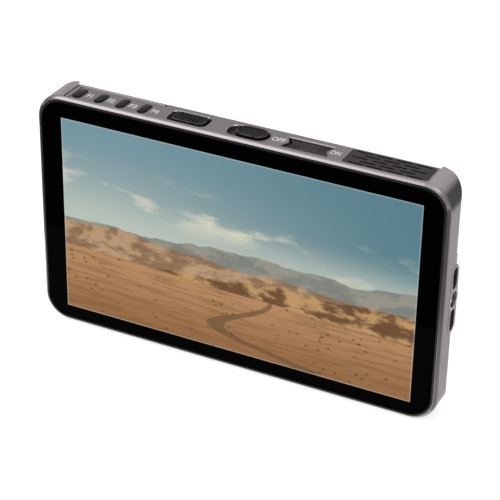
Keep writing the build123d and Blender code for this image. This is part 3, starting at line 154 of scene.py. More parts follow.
class Graph:
    """Adds nodes to one tree and links them.

    Args:
        tree: The node tree of a material, a world or a group.
    """

    def __init__(self, tree: bpy.types.NodeTree) -> None:
        """Keeps the tree."""
        self.tree = tree

    def put(self, value: Value, socket: bpy.types.NodeSocket) -> None:
        """Links a pattern to an input, or sets a constant on it.

        Args:
            value: A pattern, a number or a tuple.
            socket: The input socket.
        """
        if isinstance(value, Pattern):
            self.tree.links.new(value.socket, socket)
        else:
            socket.default_value = value

    def node(self, kind: str, inputs: Inputs, **settings: object) -> bpy.types.Node:
        """Adds one node.

        Args:
            kind: Blender's type name of the node.
            inputs: What its inputs get, by name or index.
            settings: Properties to set on the node.

        Returns:
            The new node.
        """
        made = self.tree.nodes.new(kind)
        for name, value in settings.items():
            setattr(made, name, value)
        for key, value in inputs.items():
            self.put(value, made.inputs[key])
        return made

    def give(self, kind: str, output: int | str, inputs: Inputs, **settings: object) -> Pattern:
        """Adds one node and gives one of its outputs, by name or index, as a pattern."""
        return Pattern(self, self.node(kind, inputs, **settings).outputs[output])

    def math(self, operation: str, *values: Value, clamp: bool = False) -> Pattern:
        """Result of an operation on one to three numbers, held between 0 and 1 with clamp."""
        inputs = dict(enumerate(values))
        return self.give("ShaderNodeMath", 0, inputs, operation=operation, use_clamp=clamp)

    def vector(self, operation: str, first: Value, second: Value, output: str) -> Pattern:
        """Result of an operation on two vectors, from the output named Vector or Value."""
        inputs = {0: first, 1: second}
        return self.give("ShaderNodeVectorMath", output, inputs, operation=operation)

    def scaled(self, vector: Value, factor: Value) -> Pattern:
        """A vector or a colour times a number."""
        inputs = {0: vector, "Scale": factor}
        return self.give("ShaderNodeVectorMath", 0, inputs, operation="SCALE")

    def mix(self, mask: Value, under: Value, over: Value) -> Pattern:
        """One colour over another where a mask is 1."""
        return self.give("ShaderNodeMix", 2, {0: mask, 6: under, 7: over}, data_type="RGBA")

    def layers(self, colour: Value, *coats: tuple[Value, Value]) -> Pattern:
        """A colour with others laid over it in turn.

        Args:
            colour: The lowest colour.
            coats: Mask and colour of each layer.

        Returns:
            The colour that is seen.
        """
        for mask, over in coats:
            colour = self.mix(mask, colour, over)
        return colour

    def noise(self, place: Value, scale: float, detail: float, roughness: float) -> Pattern:
        """Noise between 0 and 1: patches per unit, finer octaves and the share of each octave."""
        inputs = {"Vector": place, "Scale": scale, "Detail": detail, "Roughness": roughness}
        return self.give("ShaderNodeTexNoise", "Fac", inputs)

    def normal(self) -> Pattern:
        """Direction that the surface faces."""
        return self.give("ShaderNodeNewGeometry", "Normal", {})

    def parts(self, vector: Value) -> list[Pattern]:
        """The three parts of a vector."""
        made = self.node("ShaderNodeSeparateXYZ", {0: vector})
        return [Pattern(self, socket) for socket in made.outputs]

    def join(self, *parts: Value) -> Pattern:
        """Vector of two or three parts."""
        return self.give("ShaderNodeCombineXYZ", 0, dict(enumerate(parts)))


class Effect(Enum):
    """Surface effects that several finishes share."""

    GRAIN = "surface_grain"
    WEAR = "edge_wear"
    DUST = "settled_dust"
    RINGS = "turning_rings"


class EffectShelf:
    """Builds each shared effect once, as a node group with named inputs and outputs."""

    def __init__(self) -> None:
        """Builds the node groups."""
        self.groups = {Effect.GRAIN: self.grain(), Effect.WEAR: self.wear(),
                       Effect.DUST: self.dust(), Effect.RINGS: self.rings()}

    @staticmethod
    def socket(graph: Graph, name: str, side: str) -> None:
        """Adds a socket: its name's last word tells a colour or a position from a number."""
        kind = {"Colour": "Color", "Position": "Vector"}.get(name.split()[-1], "Float")
        graph.tree.interface.new_socket(name=name, in_out=side, socket_type=f"NodeSocket{kind}")

    def open(self, effect: Effect, *inputs: str) -> tuple[Graph, list[Pattern]]:
        """Opens a node group.

        Args:
            effect: The effect that the group makes.
            inputs: Names of its inputs.

        Returns:
            The group's graph and its inputs as patterns.
        """
        graph = Graph(bpy.data.node_groups.new(effect.value, "ShaderNodeTree"))
        for name in inputs:
            self.socket(graph, name, "INPUT")
        entry = graph.node("NodeGroupInput", {})
        return graph, [Pattern(graph, entry.outputs[name]) for name in inputs]

    def close(self, graph: Graph, **outputs: Pattern) -> bpy.types.NodeTree:
        """Closes a node group.

        Args:
            graph: The group's graph.
            outputs: Its outputs by name.

        Returns:
            The finished group.
        """
        for name in outputs:
            self.socket(graph, name, "OUTPUT")
        graph.node("NodeGroupOutput", outputs)
        return graph.tree

    def grain(self) -> bpy.types.NodeTree:
        """Fine grain with a slow mottle: colour times 1 + mottle x (noise - 0.5).

        Returns:
            The node group.
        """
        graph, (place, colour, mottle, rough, size) = self.open(
            Effect.GRAIN, "Position", "Colour", "Mottle", "Roughness", "Size")
        grains = graph.scaled(place, graph.math("DIVIDE", 1.0, size))
        fine = graph.noise(grains, 1.0, 3.0, 0.6) - 0.5
        cloud = graph.noise(grains, 0.03, 3.0, 0.6) - 0.5
        factor = cloud * mottle + 1.0 + fine * mottle
        dulled = (cloud * 0.16 + rough + fine * 0.08).clamped()
        return self.close(graph, Colour=graph.scaled(colour, factor), Roughness=dulled,
                          Height=fine + 0.5)

    def wear(self) -> bpy.types.NodeTree:
        """Rubbed edges: 1 - (rounded normal . true normal), broken up by noise.

        Returns:
            The node group.
        """
        graph, (place, colour, worn, width, amount) = self.open(
            Effect.WEAR, "Position", "Colour", "Worn Colour", "Width", "Amount")
        rounded = graph.give("ShaderNodeBevel", 0, {"Radius": width}, samples=4)
        turn = 1.0 - graph.vector("DOT_PRODUCT", rounded, graph.normal(), "Value")
        patch = graph.noise(place, 260.0, 4.0, 0.65).step(0.38, 0.62)
        mask = (turn.step(0.015, 0.16) * patch * amount).clamped()
        return self.close(graph, Colour=graph.mix(mask, colour, worn))

    def dust(self) -> bpy.types.NodeTree:
        """Dust on what faces up: upward share of the normal times noise above a threshold.

        Returns:
            The node group.
        """
        graph, (place, colour, dust, amount) = self.open(
            Effect.DUST, "Position", "Colour", "Dust Colour", "Amount")
        up = graph.parts(graph.normal())[2].step(0.2, 0.95)
        speckle = graph.noise(place, 1900.0, 2.0, 0.6).step(0.56, 0.74)
        mask = (up * speckle * graph.noise(place, 70.0, 3.0, 0.6) * amount).clamped()
        return self.close(graph, Colour=graph.mix(mask, colour, dust), Mask=mask)

    def rings(self) -> bpy.types.NodeTree:
        """Turning marks: waves of the distance from an axis, with a little noise.

        Returns:
            The node group.
        """
        graph, (aside, pitch) = self.open(Effect.RINGS, "Position", "Pitch")
        turns = graph.vector("LENGTH", aside, (0.0, 0.0, 0.0), "Value") / pitch
        wander = graph.noise(aside, 900.0, 2.0, 0.5) * 1.4 + turns
        return self.close(graph, Height=(wander * math.tau).sine() * 0.5 + 0.5)


SHELF = EffectShelf()


# ---------------------------------------------------------------- finishes

class MaterialGraph(Graph):
    """Graph of a new material with one Principled shader.

    Args:
        name: Name of the material.
    """

    def __init__(self, name: str) -> None:
        """Starts the material."""
        self.material = bpy.data.materials.new(name)
        self.material.use_nodes = True
        super().__init__(self.material.node_tree)
        self.tree.nodes.clear()
        self.shader = self.node("ShaderNodeBsdfPrincipled", {})
        self.node("ShaderNodeOutputMaterial", {"Surface": Pattern(self, self.shader.outputs[0])})

    def place(self) -> Pattern:
        """Object coordinates, in metres."""
        return self.give("ShaderNodeTexCoord", "Object", {})

    def sizes(self) -> list[Pattern]:
        """X, Y and Z of the surface, in millimetres."""
        return self.parts(self.scaled(self.place(), 1.0 / MM))

    def effect(self, effect: Effect, **values: Value) -> dict[str, Pattern]:
        """Places a shared effect.

        Args:
            effect: The effect to place.
            values: What its inputs get, with _ for a space in a name.

        Returns:
            Its outputs by name.
        """
        inputs = {name.replace("_", " "): value for name, value in values.items()}
        made = self.node("ShaderNodeGroup", {"Position": self.place(), **inputs},
                         node_tree=SHELF.groups[effect])
        return {socket.name: Pattern(self, socket) for socket in made.outputs}

    def feed(self, **inputs: Value) -> None:
        """Feeds inputs of the shader, with _ for a space in a name."""
        for name, value in inputs.items():
            self.put(value, self.shader.inputs[name.replace("_", " ")])


@dataclass(frozen=True)
class Finish:
    """A cast, moulded, pressed or plated surface.

    Args:
        name: Name of the material.
        colour: Colour of the surface.
        roughness: Middle roughness.
        metallic: 1 for bare or anodised metal.
        specular: Specular level of the shader.
        grain_size: Size of one grain.
        grain_depth: Height of the grain.
        mottle: Share by which the colour varies.
        wear: Share of rubbed edges.
        worn_colour: Colour of a rubbed edge.
        wear_width: Width of a rubbed edge.
        dust: Share of settled dust.
        dust_colour: Colour of the dust.
        dust_roughness: What full dust adds to the roughness.
    """

    name: str
    colour: Colour
    roughness: float
    metallic: float = 0.0
    specular: float = 0.5
    grain_size: float = 0.25
    grain_depth: float = 0.01
    mottle: float = 0.12
    wear: float = 0.0
    worn_colour: Colour = tone(150, 148, 146)
    wear_width: float = 0.25
    dust: float = 0.0
    dust_colour: Colour = tone(176, 170, 160)
    dust_roughness: float = 0.3

    def coat(self, *nodes: str) -> Material:
        """Builds the material and gives it to CAD nodes.

        Args:
            nodes: Names of the CAD nodes.

        Returns:
            The material.
        """
        graph = MaterialGraph(self.name)
        self.paint(graph)
        for name in nodes:
            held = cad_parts[name].data.materials
            held.clear()
            held.append(graph.material)
            log.info("node %s dressed in %s", name, self.name)
        return graph.material

    def grain(self, graph: MaterialGraph) -> dict[str, Pattern]:
        """Colour, roughness and height of the grain."""
        return graph.effect(Effect.GRAIN, Colour=self.colour, Mottle=self.mottle,
                            Roughness=self.roughness, Size=self.grain_size * MM)

    def paint(self, graph: MaterialGraph) -> None:
        """Feeds colour, roughness and normal into the shader.

        Args:
            graph: The material's graph.
        """
        grain = self.grain(graph)
        colour = self.tint(graph, grain["Colour"])
        rough = self.polish(graph, grain["Roughness"])
        height = self.relief(graph, grain["Height"])
        if self.wear > 0:
            colour = graph.effect(Effect.WEAR, Colour=colour, Worn_Colour=self.worn_colour,
                                  Width=self.wear_width * MM, Amount=self.wear)["Colour"]
        if self.dust > 0:
            dusty = graph.effect(Effect.DUST, Colour=colour, Dust_Colour=self.dust_colour,
                                 Amount=self.dust)
            colour = dusty["Colour"]
            rough = (dusty["Mask"] * self.dust_roughness + rough).clamped()
        bump = {"Height": height, "Distance": self.grain_depth * MM}
        graph.feed(Base_Color=colour, Roughness=rough, Metallic=self.metallic,
                   Specular_IOR_Level=self.specular, Normal=graph.give("ShaderNodeBump", 0, bump))

    def tint(self, graph: MaterialGraph, colour: Pattern) -> Pattern:
        """Colour after the finish's own pattern: here unchanged."""
        return colour

    def polish(self, graph: MaterialGraph, rough: Pattern) -> Pattern:
        """Roughness after the finish's own pattern: here unchanged."""
        return rough

    def relief(self, graph: MaterialGraph, height: Pattern) -> Pattern:
        """Height after the finish's own pattern: here unchanged."""
        return height


@dataclass(frozen=True)
class MilledBody(Finish):
    """Bead-blasted anodised housing with bright cuts, a darker control deck, painted highlights and
    painted shade.

    Args:
        cut_colour: Colour of what the tool cut last.
        cut_roughness: Roughness of the bright cuts.
        bevel_depth: Depth of the front bevel.
        rim_band: Middle height and half height of the bevels round the wells.
        rim_share: Brightness of these bevels against the front bevel.
        deck_share: Brightness of the deck against the outside.
        lit_wall_colour: Colour of the wall at the deck's left end: a painted highlight, paler than the
            metal.
        lit_land_colour: Colour of what stands between the serrations: a painted highlight, paler than
            the metal.
        groove_shade_colour: Colour of grooves and seams: painted shade.
        deck_left: X of the deck's left end.
        serration: Lowest X, highest X, lowest depth and highest depth of the serrated strip.
        land_right: X where the painted highlight on that strip ends.
        lip_right: X of the right end of the cover's lip.
        lip_depth: Depth of the seam in front of that lip.
        groove_depth: Depth down to which a groove's floor may lie below the deck.
        seam_width: Width of the seams.
        seam_shade_share: Share of painted shade in the seam at the deck's left end, from 0 to 1.
    """

    cut_colour: Colour = tone(152, 147, 148)
    cut_roughness: float = 0.22
    bevel_depth: float = 0.9
    rim_band: Pair = (DECK_Z - 0.12, 0.15)
    rim_share: float = 0.45
    deck_share: float = 0.68
    # lit_wall_colour and lit_land_colour are painted highlights for the light on the wall and the
    # lands.
    lit_wall_colour: Colour = tone(226, 220, 221)
    lit_land_colour: Colour = tone(220, 214, 215)
    # groove_shade_colour is painted shade in the grooves and seams.
    groove_shade_colour: Colour = tone(30, 28, 28)
    deck_left: float = -60.7
    serration: tuple[float, float, float, float] = (-60.15, -58.25, 2.1, 11.0)
    land_right: float = -59.3
    lip_right: float = -28.8
    lip_depth: float = 10.9
    groove_depth: float = 0.3
    seam_width: float = 0.3
    seam_shade_share: float = 0.45

    def masks(self, graph: MaterialGraph) -> tuple[Pattern, ...]:
        """Masks of the cuts, the deck, its grooves, the wall at its left end and its lands.

        The cuts are the front bevel (normal half forward, near the rim) and the bevels round the
        wells (normal half up, at the deck). The grooves, which take painted shade, are the
        serrations' floors, the seam at the deck's left end and the seam before the cover's lip.
        The wall's normal is along X; the wall and the lands take painted highlights.

        Args:
            graph: The material's graph.

        Returns:
            The five masks.
        """
        x, y, z = graph.sizes()
        across, back, up = graph.parts(graph.normal())
        half, lean, slack = math.sqrt(0.5), 0.06, 0.02
        front = back.near(-half, lean) * (y < y_at(self.bevel_depth))
        rims = up.near(half, lean) * z.near(*self.rim_band)
        wall = across.near(1.0, lean) * (z > DECK_Z + slack) * x.near(self.deck_left, 0.05)
        level = z.near(DECK_Z, slack) * (up > 0.9)
        left, right, near, far = self.serration
        strip = x.between(left, right) * y.between(y_at(near), y_at(far))
        end = x.between(self.deck_left - slack, self.deck_left + slack + self.seam_width)
        seam = y.between(y_at(self.lip_depth), y_at(self.lip_depth + self.seam_width))
        floors = graph.math("MAXIMUM", strip, end * self.seam_shade_share)
        sunk = floors * z.between(DECK_Z - self.groove_depth, DECK_Z - slack)
        # painted shade in the serrations' floors and the seams
        grooves = (seam * (x < self.lip_right) * level + sunk).clamped()
        lands = level * strip * (x < self.land_right)
        return (rims * self.rim_share + front).clamped(), level - lands, grooves, wall, lands

    def paint(self, graph: MaterialGraph) -> None:
        """Paints as any finish does, then leaves the wall at the deck's left end matt, so its painted
        highlight shows.
        """
        super().paint(graph)
        graph.feed(Metallic=(1.0 - self.masks(graph)[3]) * self.metallic)

    def tint(self, graph: MaterialGraph, colour: Pattern) -> Pattern:
        """Brightens the cuts, paints highlights on the lands and the wall, darkens the deck and paints
        shade in its grooves.

        Args:
            graph: The material's graph.
            colour: Colour of the blasted metal.

        Returns:
            Colour of the body.
        """
        cuts, deck, grooves, wall, lands = self.masks(graph)
        plain = graph.scaled(colour, 1.0 - deck * (1.0 - self.deck_share))
        # the lands and the wall get painted highlights, the grooves painted shade.
        return graph.layers(plain, (lands, self.lit_land_colour), (grooves, self.groove_shade_colour),
                            (cuts, self.cut_colour), (wall, self.lit_wall_colour))

    def polish(self, graph: MaterialGraph, rough: Pattern) -> Pattern:
        """Smooths the cuts: rough + mask x (cut roughness - rough)."""
        return self.masks(graph)[0] * (self.cut_roughness - rough) + rough


@dataclass(frozen=True)
class TurnedMetal(Finish):
    """Metal turned on a lathe, with rings round an axis.

    Args:
        centre: A point of the axis.
        axis: Index of the axis: 0 for X, 1 for Y, 2 for Z.
        pitch: Distance between two rings.
        depth: Height of the rings against the grain.
    """

    centre: Triple = (0.0, 0.0, 0.0)
    axis: int = 0
    pitch: float = 0.12
    depth: float = 0.8

    def relief(self, graph: MaterialGraph, height: Pattern) -> Pattern:
        """Adds the rings to the grain.

        Args:
            graph: The material's graph.
            height: Height of the grain.

        Returns:
            Height of both.
        """
        centre = tuple(part * MM for part in self.centre)
        moved = graph.vector("SUBTRACT", graph.place(), centre, "Vector")
        aside = graph.vector("MULTIPLY", moved, tuple(1.0 - np.eye(3)[self.axis]), "Vector")
        rings = graph.effect(Effect.RINGS, Position=aside, Pitch=self.pitch * MM)
        return rings["Height"] * self.depth + height


@dataclass(frozen=True)
class Laminate(Finish):
    """Circuit board: dark solder mask over fine copper tracks, with tinned pads.

    Args:
        track_pitch: Distance between two tracks.
        track_colour: Colour of a track under the mask.
        pad_colour: Colour of a tinned pad.
    """

    track_pitch: float = 0.9
    track_colour: Colour = tone(38, 74, 58)
    pad_colour: Colour = tone(196, 190, 172)

    def tint(self, graph: MaterialGraph, colour: Pattern) -> Pattern:
        """Adds tracks where a brick pattern has its joints, and pads where cells are small.

        Args:
            graph: The material's graph.
            colour: Colour of the mask.

        Returns:
            Colour of the board.
        """
        x, _, z = graph.sizes()
        bricks = {"Vector": graph.join(x, z), "Scale": 1.0 / self.track_pitch, "Mortar Size": 0.07}
        tracks = graph.give("ShaderNodeTexBrick", "Fac", bricks, offset=0.37, squash=1.6)
        cells = {"Vector": graph.place(), "Scale": 0.45 / (self.track_pitch * MM)}
        pads = graph.give("ShaderNodeTexVoronoi", "Distance", cells, feature="F1") < 0.14
        return graph.layers(colour, (tracks, self.track_colour), (pads, self.pad_colour))


@dataclass(frozen=True)
class WovenGauze(Finish):
    """Fine metal gauze: two crossed sets of wires.

    Args:
        wire_pitch: Distance between two wires.
        gap_colour: Colour of the gaps.
        wire_depth: Height of the wires against the grain.
    """

    wire_pitch: float = 0.3
    gap_colour: Colour = tone(6, 6, 7)
    wire_depth: float = 2.0

    def weave(self, graph: MaterialGraph) -> Pattern:
        """Height of the wires: the larger of |sin| along X and |sin| along Y."""
        waves = [abs((part * (math.pi / self.wire_pitch)).sine()) for part in graph.sizes()[:2]]
        return graph.math("MAXIMUM", *waves)

    def tint(self, graph: MaterialGraph, colour: Pattern) -> Pattern:
        """Darkens the gaps between the wires."""
        return graph.mix(self.weave(graph).step(0.95, 0.7), colour, self.gap_colour)

    def relief(self, graph: MaterialGraph, height: Pattern) -> Pattern:
        """Adds the wires to the grain."""
        return self.weave(graph) * self.wire_depth + height


@dataclass(frozen=True)
class SunkPad(Finish):
    """Moulded slider with a painted highlight on its rims, whose carrier plate, down in its well, is
    paler: painted light.

    Args:
        lit_carrier_colour: Paler colour of the carrier plate: painted light down in the shaded well.
        carrier_top: Height below which the slider counts as its carrier.
        rim_colour: Colour of the painted highlight on the rims.
        rim_low: Lowest height of a rim.
    """

    lit_carrier_colour: Colour = tone(72, 67, 68)
    carrier_top: float = DECK_Z - 1.2
    rim_colour: Colour = tone(102, 96, 97)
    rim_low: float = DECK_Z - 0.2

    def tint(self, graph: MaterialGraph, colour: Pattern) -> Pattern:
        """Paints a highlight on the rims, where the normal leans, and light on what lies below the
        carrier's top.

        Args:
            graph: The material's graph.
            colour: Colour of the moulding.

        Returns:
            Colour of the slider.
        """
        z, up = graph.sizes()[2], graph.parts(graph.normal())[2]
        leaning = up.step(0.985, 0.9) * up.step(0.35, 0.6) * (z > self.rim_low)
        # painted highlight on the leaning rims, broken up by noise
        rubbed = leaning * graph.noise(graph.place(), 900.0, 3.0, 0.6).step(0.3, 0.6)
        # the carrier below carrier_top gets a paler colour: painted light in the well
        return graph.layers(colour, (rubbed, self.rim_colour),
                            (z < self.carrier_top, self.lit_carrier_colour))


@dataclass(frozen=True)
class Landscape:
    """Picture of a sky over ridges and a plain with a winding track and shrubs.

    Args:
        graph: The material's graph.
        across: -1 at the left edge of the picture, 1 at the right one.
        up: 0 at its foot, 1 at its top.
    """

    RIDGES: ClassVar = (
        ((3.1, 0.520, 0.16, 0.030, 2.4), tone(150, 148, 136), tone(128, 130, 124)),
        ((7.7, 0.455, 0.15, -0.045, 1.9), tone(184, 152, 118), tone(140, 110, 84)),
        ((11.3, 0.375, 0.17, 0.055, 1.5), tone(190, 150, 104), tone(112, 80, 54)),
    )
    PLAIN: ClassVar = (19.0, 0.315, 0.07, -0.03, 1.2)
    graph: MaterialGraph
    across: Pattern
    up: Pattern

    def patches(self, wide: float, tall: float, seed: float, *octaves: float) -> Pattern:
        """Noise with so many patches across and up the picture."""
        place = self.graph.join(self.across * wide, self.up * tall, seed)
        return self.graph.noise(place, 1.0, *octaves)

    def ridge(self, line: tuple[float, ...]) -> Pattern:
        """Mask below a ridge line: base + lean x across + swing x (noise - 0.5).

        Args:
            line: Place in the noise, base, swing, lean, and peaks per half width.

        Returns:
            The mask.
        """
        seed, base, swing, lean, coarse = line
        wave = self.graph.noise(self.graph.join(self.across, seed), coarse, 5.0, 0.52) - 0.5
        return (wave * swing + base + self.across * lean - self.up).step(-0.004, 0.004)

    def sky(self) -> Pattern:
        """Sky that darkens upwards and to the right, with a bank of cloud.

        Returns:
            Its colour.
        """
        bank = self.patches(2.3, 7.5, 4.2, 7.0, 0.58).step(0.5, 0.66)
        cloud = bank * abs(self.up - (self.across * -0.06 + 0.66)).step(0.15, 0.02)
        return self.graph.layers(
            tone(170, 184, 178), (self.up.step(0.48, 0.98), tone(118, 150, 161)),
            (self.across.step(-0.9, 1.2), tone(88, 128, 140)),
            (self.up.step(0.72, 0.44), tone(186, 196, 186)), (cloud * 0.85, tone(216, 213, 192)))

    def sand(self, relief: Pattern) -> Pattern:
        """Rippled sand with shrubs, and a track that swings as a sine of the height.

        Args:
            relief: Noise that tells where shrubs grow.

        Returns:
            Its colour.
        """
        across, up = self.across, self.up
        ripples = self.patches(3.0, 46.0, 8.0, 4.0, 0.55).step(0.56, 0.4)
        swing = (self.graph.math("POWER", up, 0.6) * 13.0 + 0.8).sine()
        middle, width = swing * (up * -0.6 + 0.3) + 0.12, (0.34 - up) * 0.22 + 0.006
        track = (width - abs(across - middle)).step(-0.004, 0.006)
        clumps = {"Vector": self.graph.join(across * 14.0, up * 26.0), "Scale": 1.0}
        shrubs = self.graph.give("ShaderNodeTexVoronoi", 0, clumps, voronoi_dimensions="2D")
        dots = shrubs.step(0.16, 0.1) * relief.step(0.5, 0.56)
        return self.graph.layers(
            tone(152, 108, 70), (up.step(0.0, 0.33), tone(182, 138, 98)),
            (ripples * 0.4, tone(122, 88, 58)), (track * 0.75, tone(112, 84, 58)),
            (dots * 0.7, tone(70, 62, 42)))

    def colour(self) -> Pattern:
        """Colour of the whole picture.

        Returns:
            The sky under the ridges, and these under the plain.
        """
        picture, relief = self.sky(), self.patches(7.0, 16.0, 1.3, 6.0, 0.6)
        for line, light, shade in self.RIDGES:
            rock = self.graph.mix(relief.step(0.42, 0.58), shade, light)
            picture = self.graph.mix(self.ridge(line), picture, rock)
        return self.graph.mix(self.ridge(self.PLAIN), picture, self.sand(relief))


@dataclass(frozen=True)
class LitGlass(Finish):
    """Front glass: black ink border round a lit landscape.

    Args:
        half_width: Half of the lit area's width.
        middle: X of its middle.
        low: Lowest height of the lit area.
        high: Highest height of the lit area.
        rim: Width of the paler rim of the lit area, as a share of its half width.
        rim_share: Share of the rim's colour in the rim.
        rim_colour: Colour of the rim.
        front: Depth before which only the front face of the glass lies.
        wiped: What a wiping mark adds to the roughness.
    """

    half_width: float = 60.26
    middle: float = 0.46
    low: float = 6.38
    high: float = 74.12
    rim: float = 0.005
    rim_share: float = 0.25
    rim_colour: Colour = tone(222, 228, 222)
    front: float = -0.4
    wiped: float = 0.09

    def paint(self, graph: MaterialGraph) -> None:
        """Lights the picture inside the lit area, and wipes faint marks over the glass.

        Args:
            graph: The material's graph.
        """
        x, y, z = graph.sizes()
        across, up = (x - self.middle) / self.half_width, (z - self.low) / (self.high - self.low)
        inner = across.between(self.rim - 1.0, 1.0 - self.rim) * up.between(self.rim, 1.0 - self.rim)
        picture = graph.mix((1.0 - inner) * self.rim_share, Landscape(graph, across, up).colour(),
                            self.rim_colour)
        lit = across.between(-1.0, 1.0) * up.between(0.0, 1.0) * (y < y_at(self.front))
        stretched = graph.vector("MULTIPLY", graph.place(), (1.0, 1.0, 3.5), "Vector")
        graph.feed(Base_Color=self.grain(graph)["Colour"], Specular_IOR_Level=self.specular,
                   Roughness=graph.noise(stretched, 40.0, 4.0, 0.6) * self.wiped + self.roughness,
                   Emission_Color=graph.mix(lit, BLACK, picture), Emission_Strength=1.0)


# ---------------------------------------------------------------- surfaces

def link(name: str, data: bpy.types.ID) -> Piece:
    """Puts a mesh, curve, lamp or camera into the scene as an object at the origin.

    Args:
        name: Name of the object.
        data: What the object shows.

    Returns:
        The object.
    """
    made = bpy.data.objects.new(name, data)
    bpy.context.scene.collection.objects.link(made)
    return made


def grid(x: np.ndarray, y: np.ndarray, z: np.ndarray | float) -> np.ndarray:
    """Points of a surface whose three parts fill the same rows and columns."""
    return np.stack(np.broadcast_arrays(x, y, z), axis=-1)


def ring(count: int) -> np.ndarray:
    """Angles of so many points round a full turn, as one row."""
    return np.linspace(0.0, math.tau, count + 1)[None, :-1]


def surface(name: str, copies: np.ndarray, wrap: bool = True, caps: bool = True) -> Piece:
    """Mesh of one or more equal grids: quads (i, j), (i, j+1), (i+1, j+1), (i+1, j).

    Args:
        name: Name of the piece.
        copies: Array of copies x rows x columns x 3, in millimetres.
        wrap: True where the last column joins the first.
        caps: True to close the first and the last row with one face each.

    Returns:
        The new object, with smooth shading.
    """
    count, rows, columns, _ = copies.shape
    i = np.arange(rows - 1)[:, None] * columns
    j = np.arange(columns if wrap else columns - 1)[None, :]
    beside = (j + 1) % columns
    quads = np.stack([i + j, i + beside, i + columns + beside, i + columns + j], axis=-1)
    starts = np.arange(count)[:, None] * rows * columns
    faces = (quads.reshape(1, -1, 4) + starts[..., None]).reshape(-1, 4).tolist()
    if caps:
        rim = np.arange(columns)
        faces += (rim + starts).tolist()
        faces += (rim[::-1] + starts + (rows - 1) * columns).tolist()
    mesh = bpy.data.meshes.new(name)
    mesh.from_pydata((copies.reshape(-1, 3) * MM).tolist(), [], faces)
    mesh.validate()
    mesh.shade_smooth()
    return link(name, mesh)


def face_outwards(piece: Piece, crisp: float = 180.0) -> Piece:
    """Merges doubles, turns every face outwards and keeps sharp edges crisp.

    Args:
        piece: A closed piece.
        crisp: Angle, in degrees, past which an edge stays crisp.

    Returns:
        The same piece.
    """
    work = bmesh.new()
    work.from_mesh(piece.data)
    bmesh.ops.remove_doubles(work, verts=work.verts, dist=1e-7)
    bmesh.ops.recalc_face_normals(work, faces=work.faces)
    work.to_mesh(piece.data)
    work.free()
    if crisp < 180.0:
        piece.data.set_sharp_from_angle(angle=math.radians(crisp))
    return piece


def finish_piece(piece: Piece, material: Material, body: str = "monitor",
                 nodes: tuple[str, ...] = ()) -> None:
    """Dresses a new piece, sets it on its body and hides the CAD nodes that it replaces.

    Args:
        piece: The new piece.
        material: Its material.
        body: The CAD body that it rides on.
        nodes: CAD nodes that it replaces.
    """
    piece.data.materials.clear()
    piece.data.materials.append(material)
    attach(piece, body)
    if nodes:
        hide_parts(*nodes)
    log.info("piece %s on %s, %d faces", piece.name, body, len(piece.data.polygons))


# ---------------------------------------------------------------- sub-assemblies

@dataclass
class Assembly:
    """A sub-assembly: each of its finishes, with the CAD nodes that take it, and new pieces."""

    COATS: ClassVar[tuple[tuple[Finish, str], ...]] = ()

    def build(self) -> None:
        """Dresses the CAD nodes, then adds the new pieces."""
        for finish, nodes in self.COATS:
            finish.coat(*nodes.split())
        self.add()
        log.info("built %s", type(self).__name__)

    def add(self) -> None:
        """Makes the new pieces: here none."""


@dataclass
class Housing(Assembly):
    """Milled body and the ring round the glass."""

    COATS = (
        (MilledBody("anodised_body", tone(141, 136, 137), 0.3, metallic=0.9, grain_size=0.16,
                    grain_depth=0.006, mottle=0.07, wear=0.4, worn_colour=tone(190, 186, 184),
                    wear_width=0.14, dust=0.05), "housing"),
        (Finish("seal_rubber", tone(38, 37, 38), 0.55, specular=0.35, mottle=0.2), "glass_gasket"),
    )


@dataclass
class DeckMarks(Assembly):
    """Marks etched into the control deck.

    Args:
        marks: Word, lowest and highest X, and front and rear depth of each mark.
        thick: Thickness of a mark.
        weight: Share of the letters' size by which their strokes are widened.
        ink: Finish of the marks.
    """

    marks: tuple[tuple[str, Pair, Pair], ...] = (
        ("F1", (-54.3, -52.5), (5.3, 7.8)),
        ("F2", (-46.8, -44.6), (5.3, 7.8)),
        ("F3", (-39.2, -36.9), (5.3, 7.8)),
        ("F4", (-31.4, -29.2), (5.3, 7.8)),
        ("OFF", (9.0, 13.3), (5.8, 8.3)),
        ("ON", (28.0, 31.2), (6.0, 8.3)),
    )
    thick: float = 0.03
    weight: float = 0.022
    ink: Finish = Finish("etched_mark", tone(212, 208, 208), 0.55, grain_size=0.1,
                         grain_depth=0.004, mottle=0.1)

    def add(self) -> None:
        """Makes one thin piece for each mark."""
        material = self.ink.coat()
        for words, across, depths in self.marks:
            finish_piece(self.mark(words, across, depths), material)

    def mark(self, words: str, across: Pair, depths: Pair) -> Piece:
        """Text made a mesh and scaled into its rectangle on the deck.

        Args:
            words: The text.
            across: Its lowest and highest X.
            depths: Depths of its foot and its top.

        Returns:
            The new piece.
        """
        name = f"mark_{words.lower()}"
        curve = bpy.data.curves.new(name, "FONT")
        curve.body = words
        curve.extrude = 0.5
        curve.offset = self.weight
        holder = link(f"{name}_text", curve)
        state = bpy.context.evaluated_depsgraph_get()
        mesh = bpy.data.meshes.new_from_object(holder.evaluated_get(state))
        bpy.data.objects.remove(holder)
        bpy.data.curves.remove(curve)
        points = np.empty(len(mesh.vertices) * 3)
        mesh.vertices.foreach_get("co", points)
        points = points.reshape(-1, 3)
        low, high = points.min(axis=0), points.max(axis=0)
        foot = np.array([across[0], y_at(depths[0]), DECK_Z])
        size = np.array([across[1] - across[0], depths[1] - depths[0], self.thick])
        placed = foot + (points - low) / (high - low) * size
        mesh.vertices.foreach_set("co", (placed * MM).ravel())
        mesh.name = name
        mesh.update()
        return face_outwards(link(name, mesh))


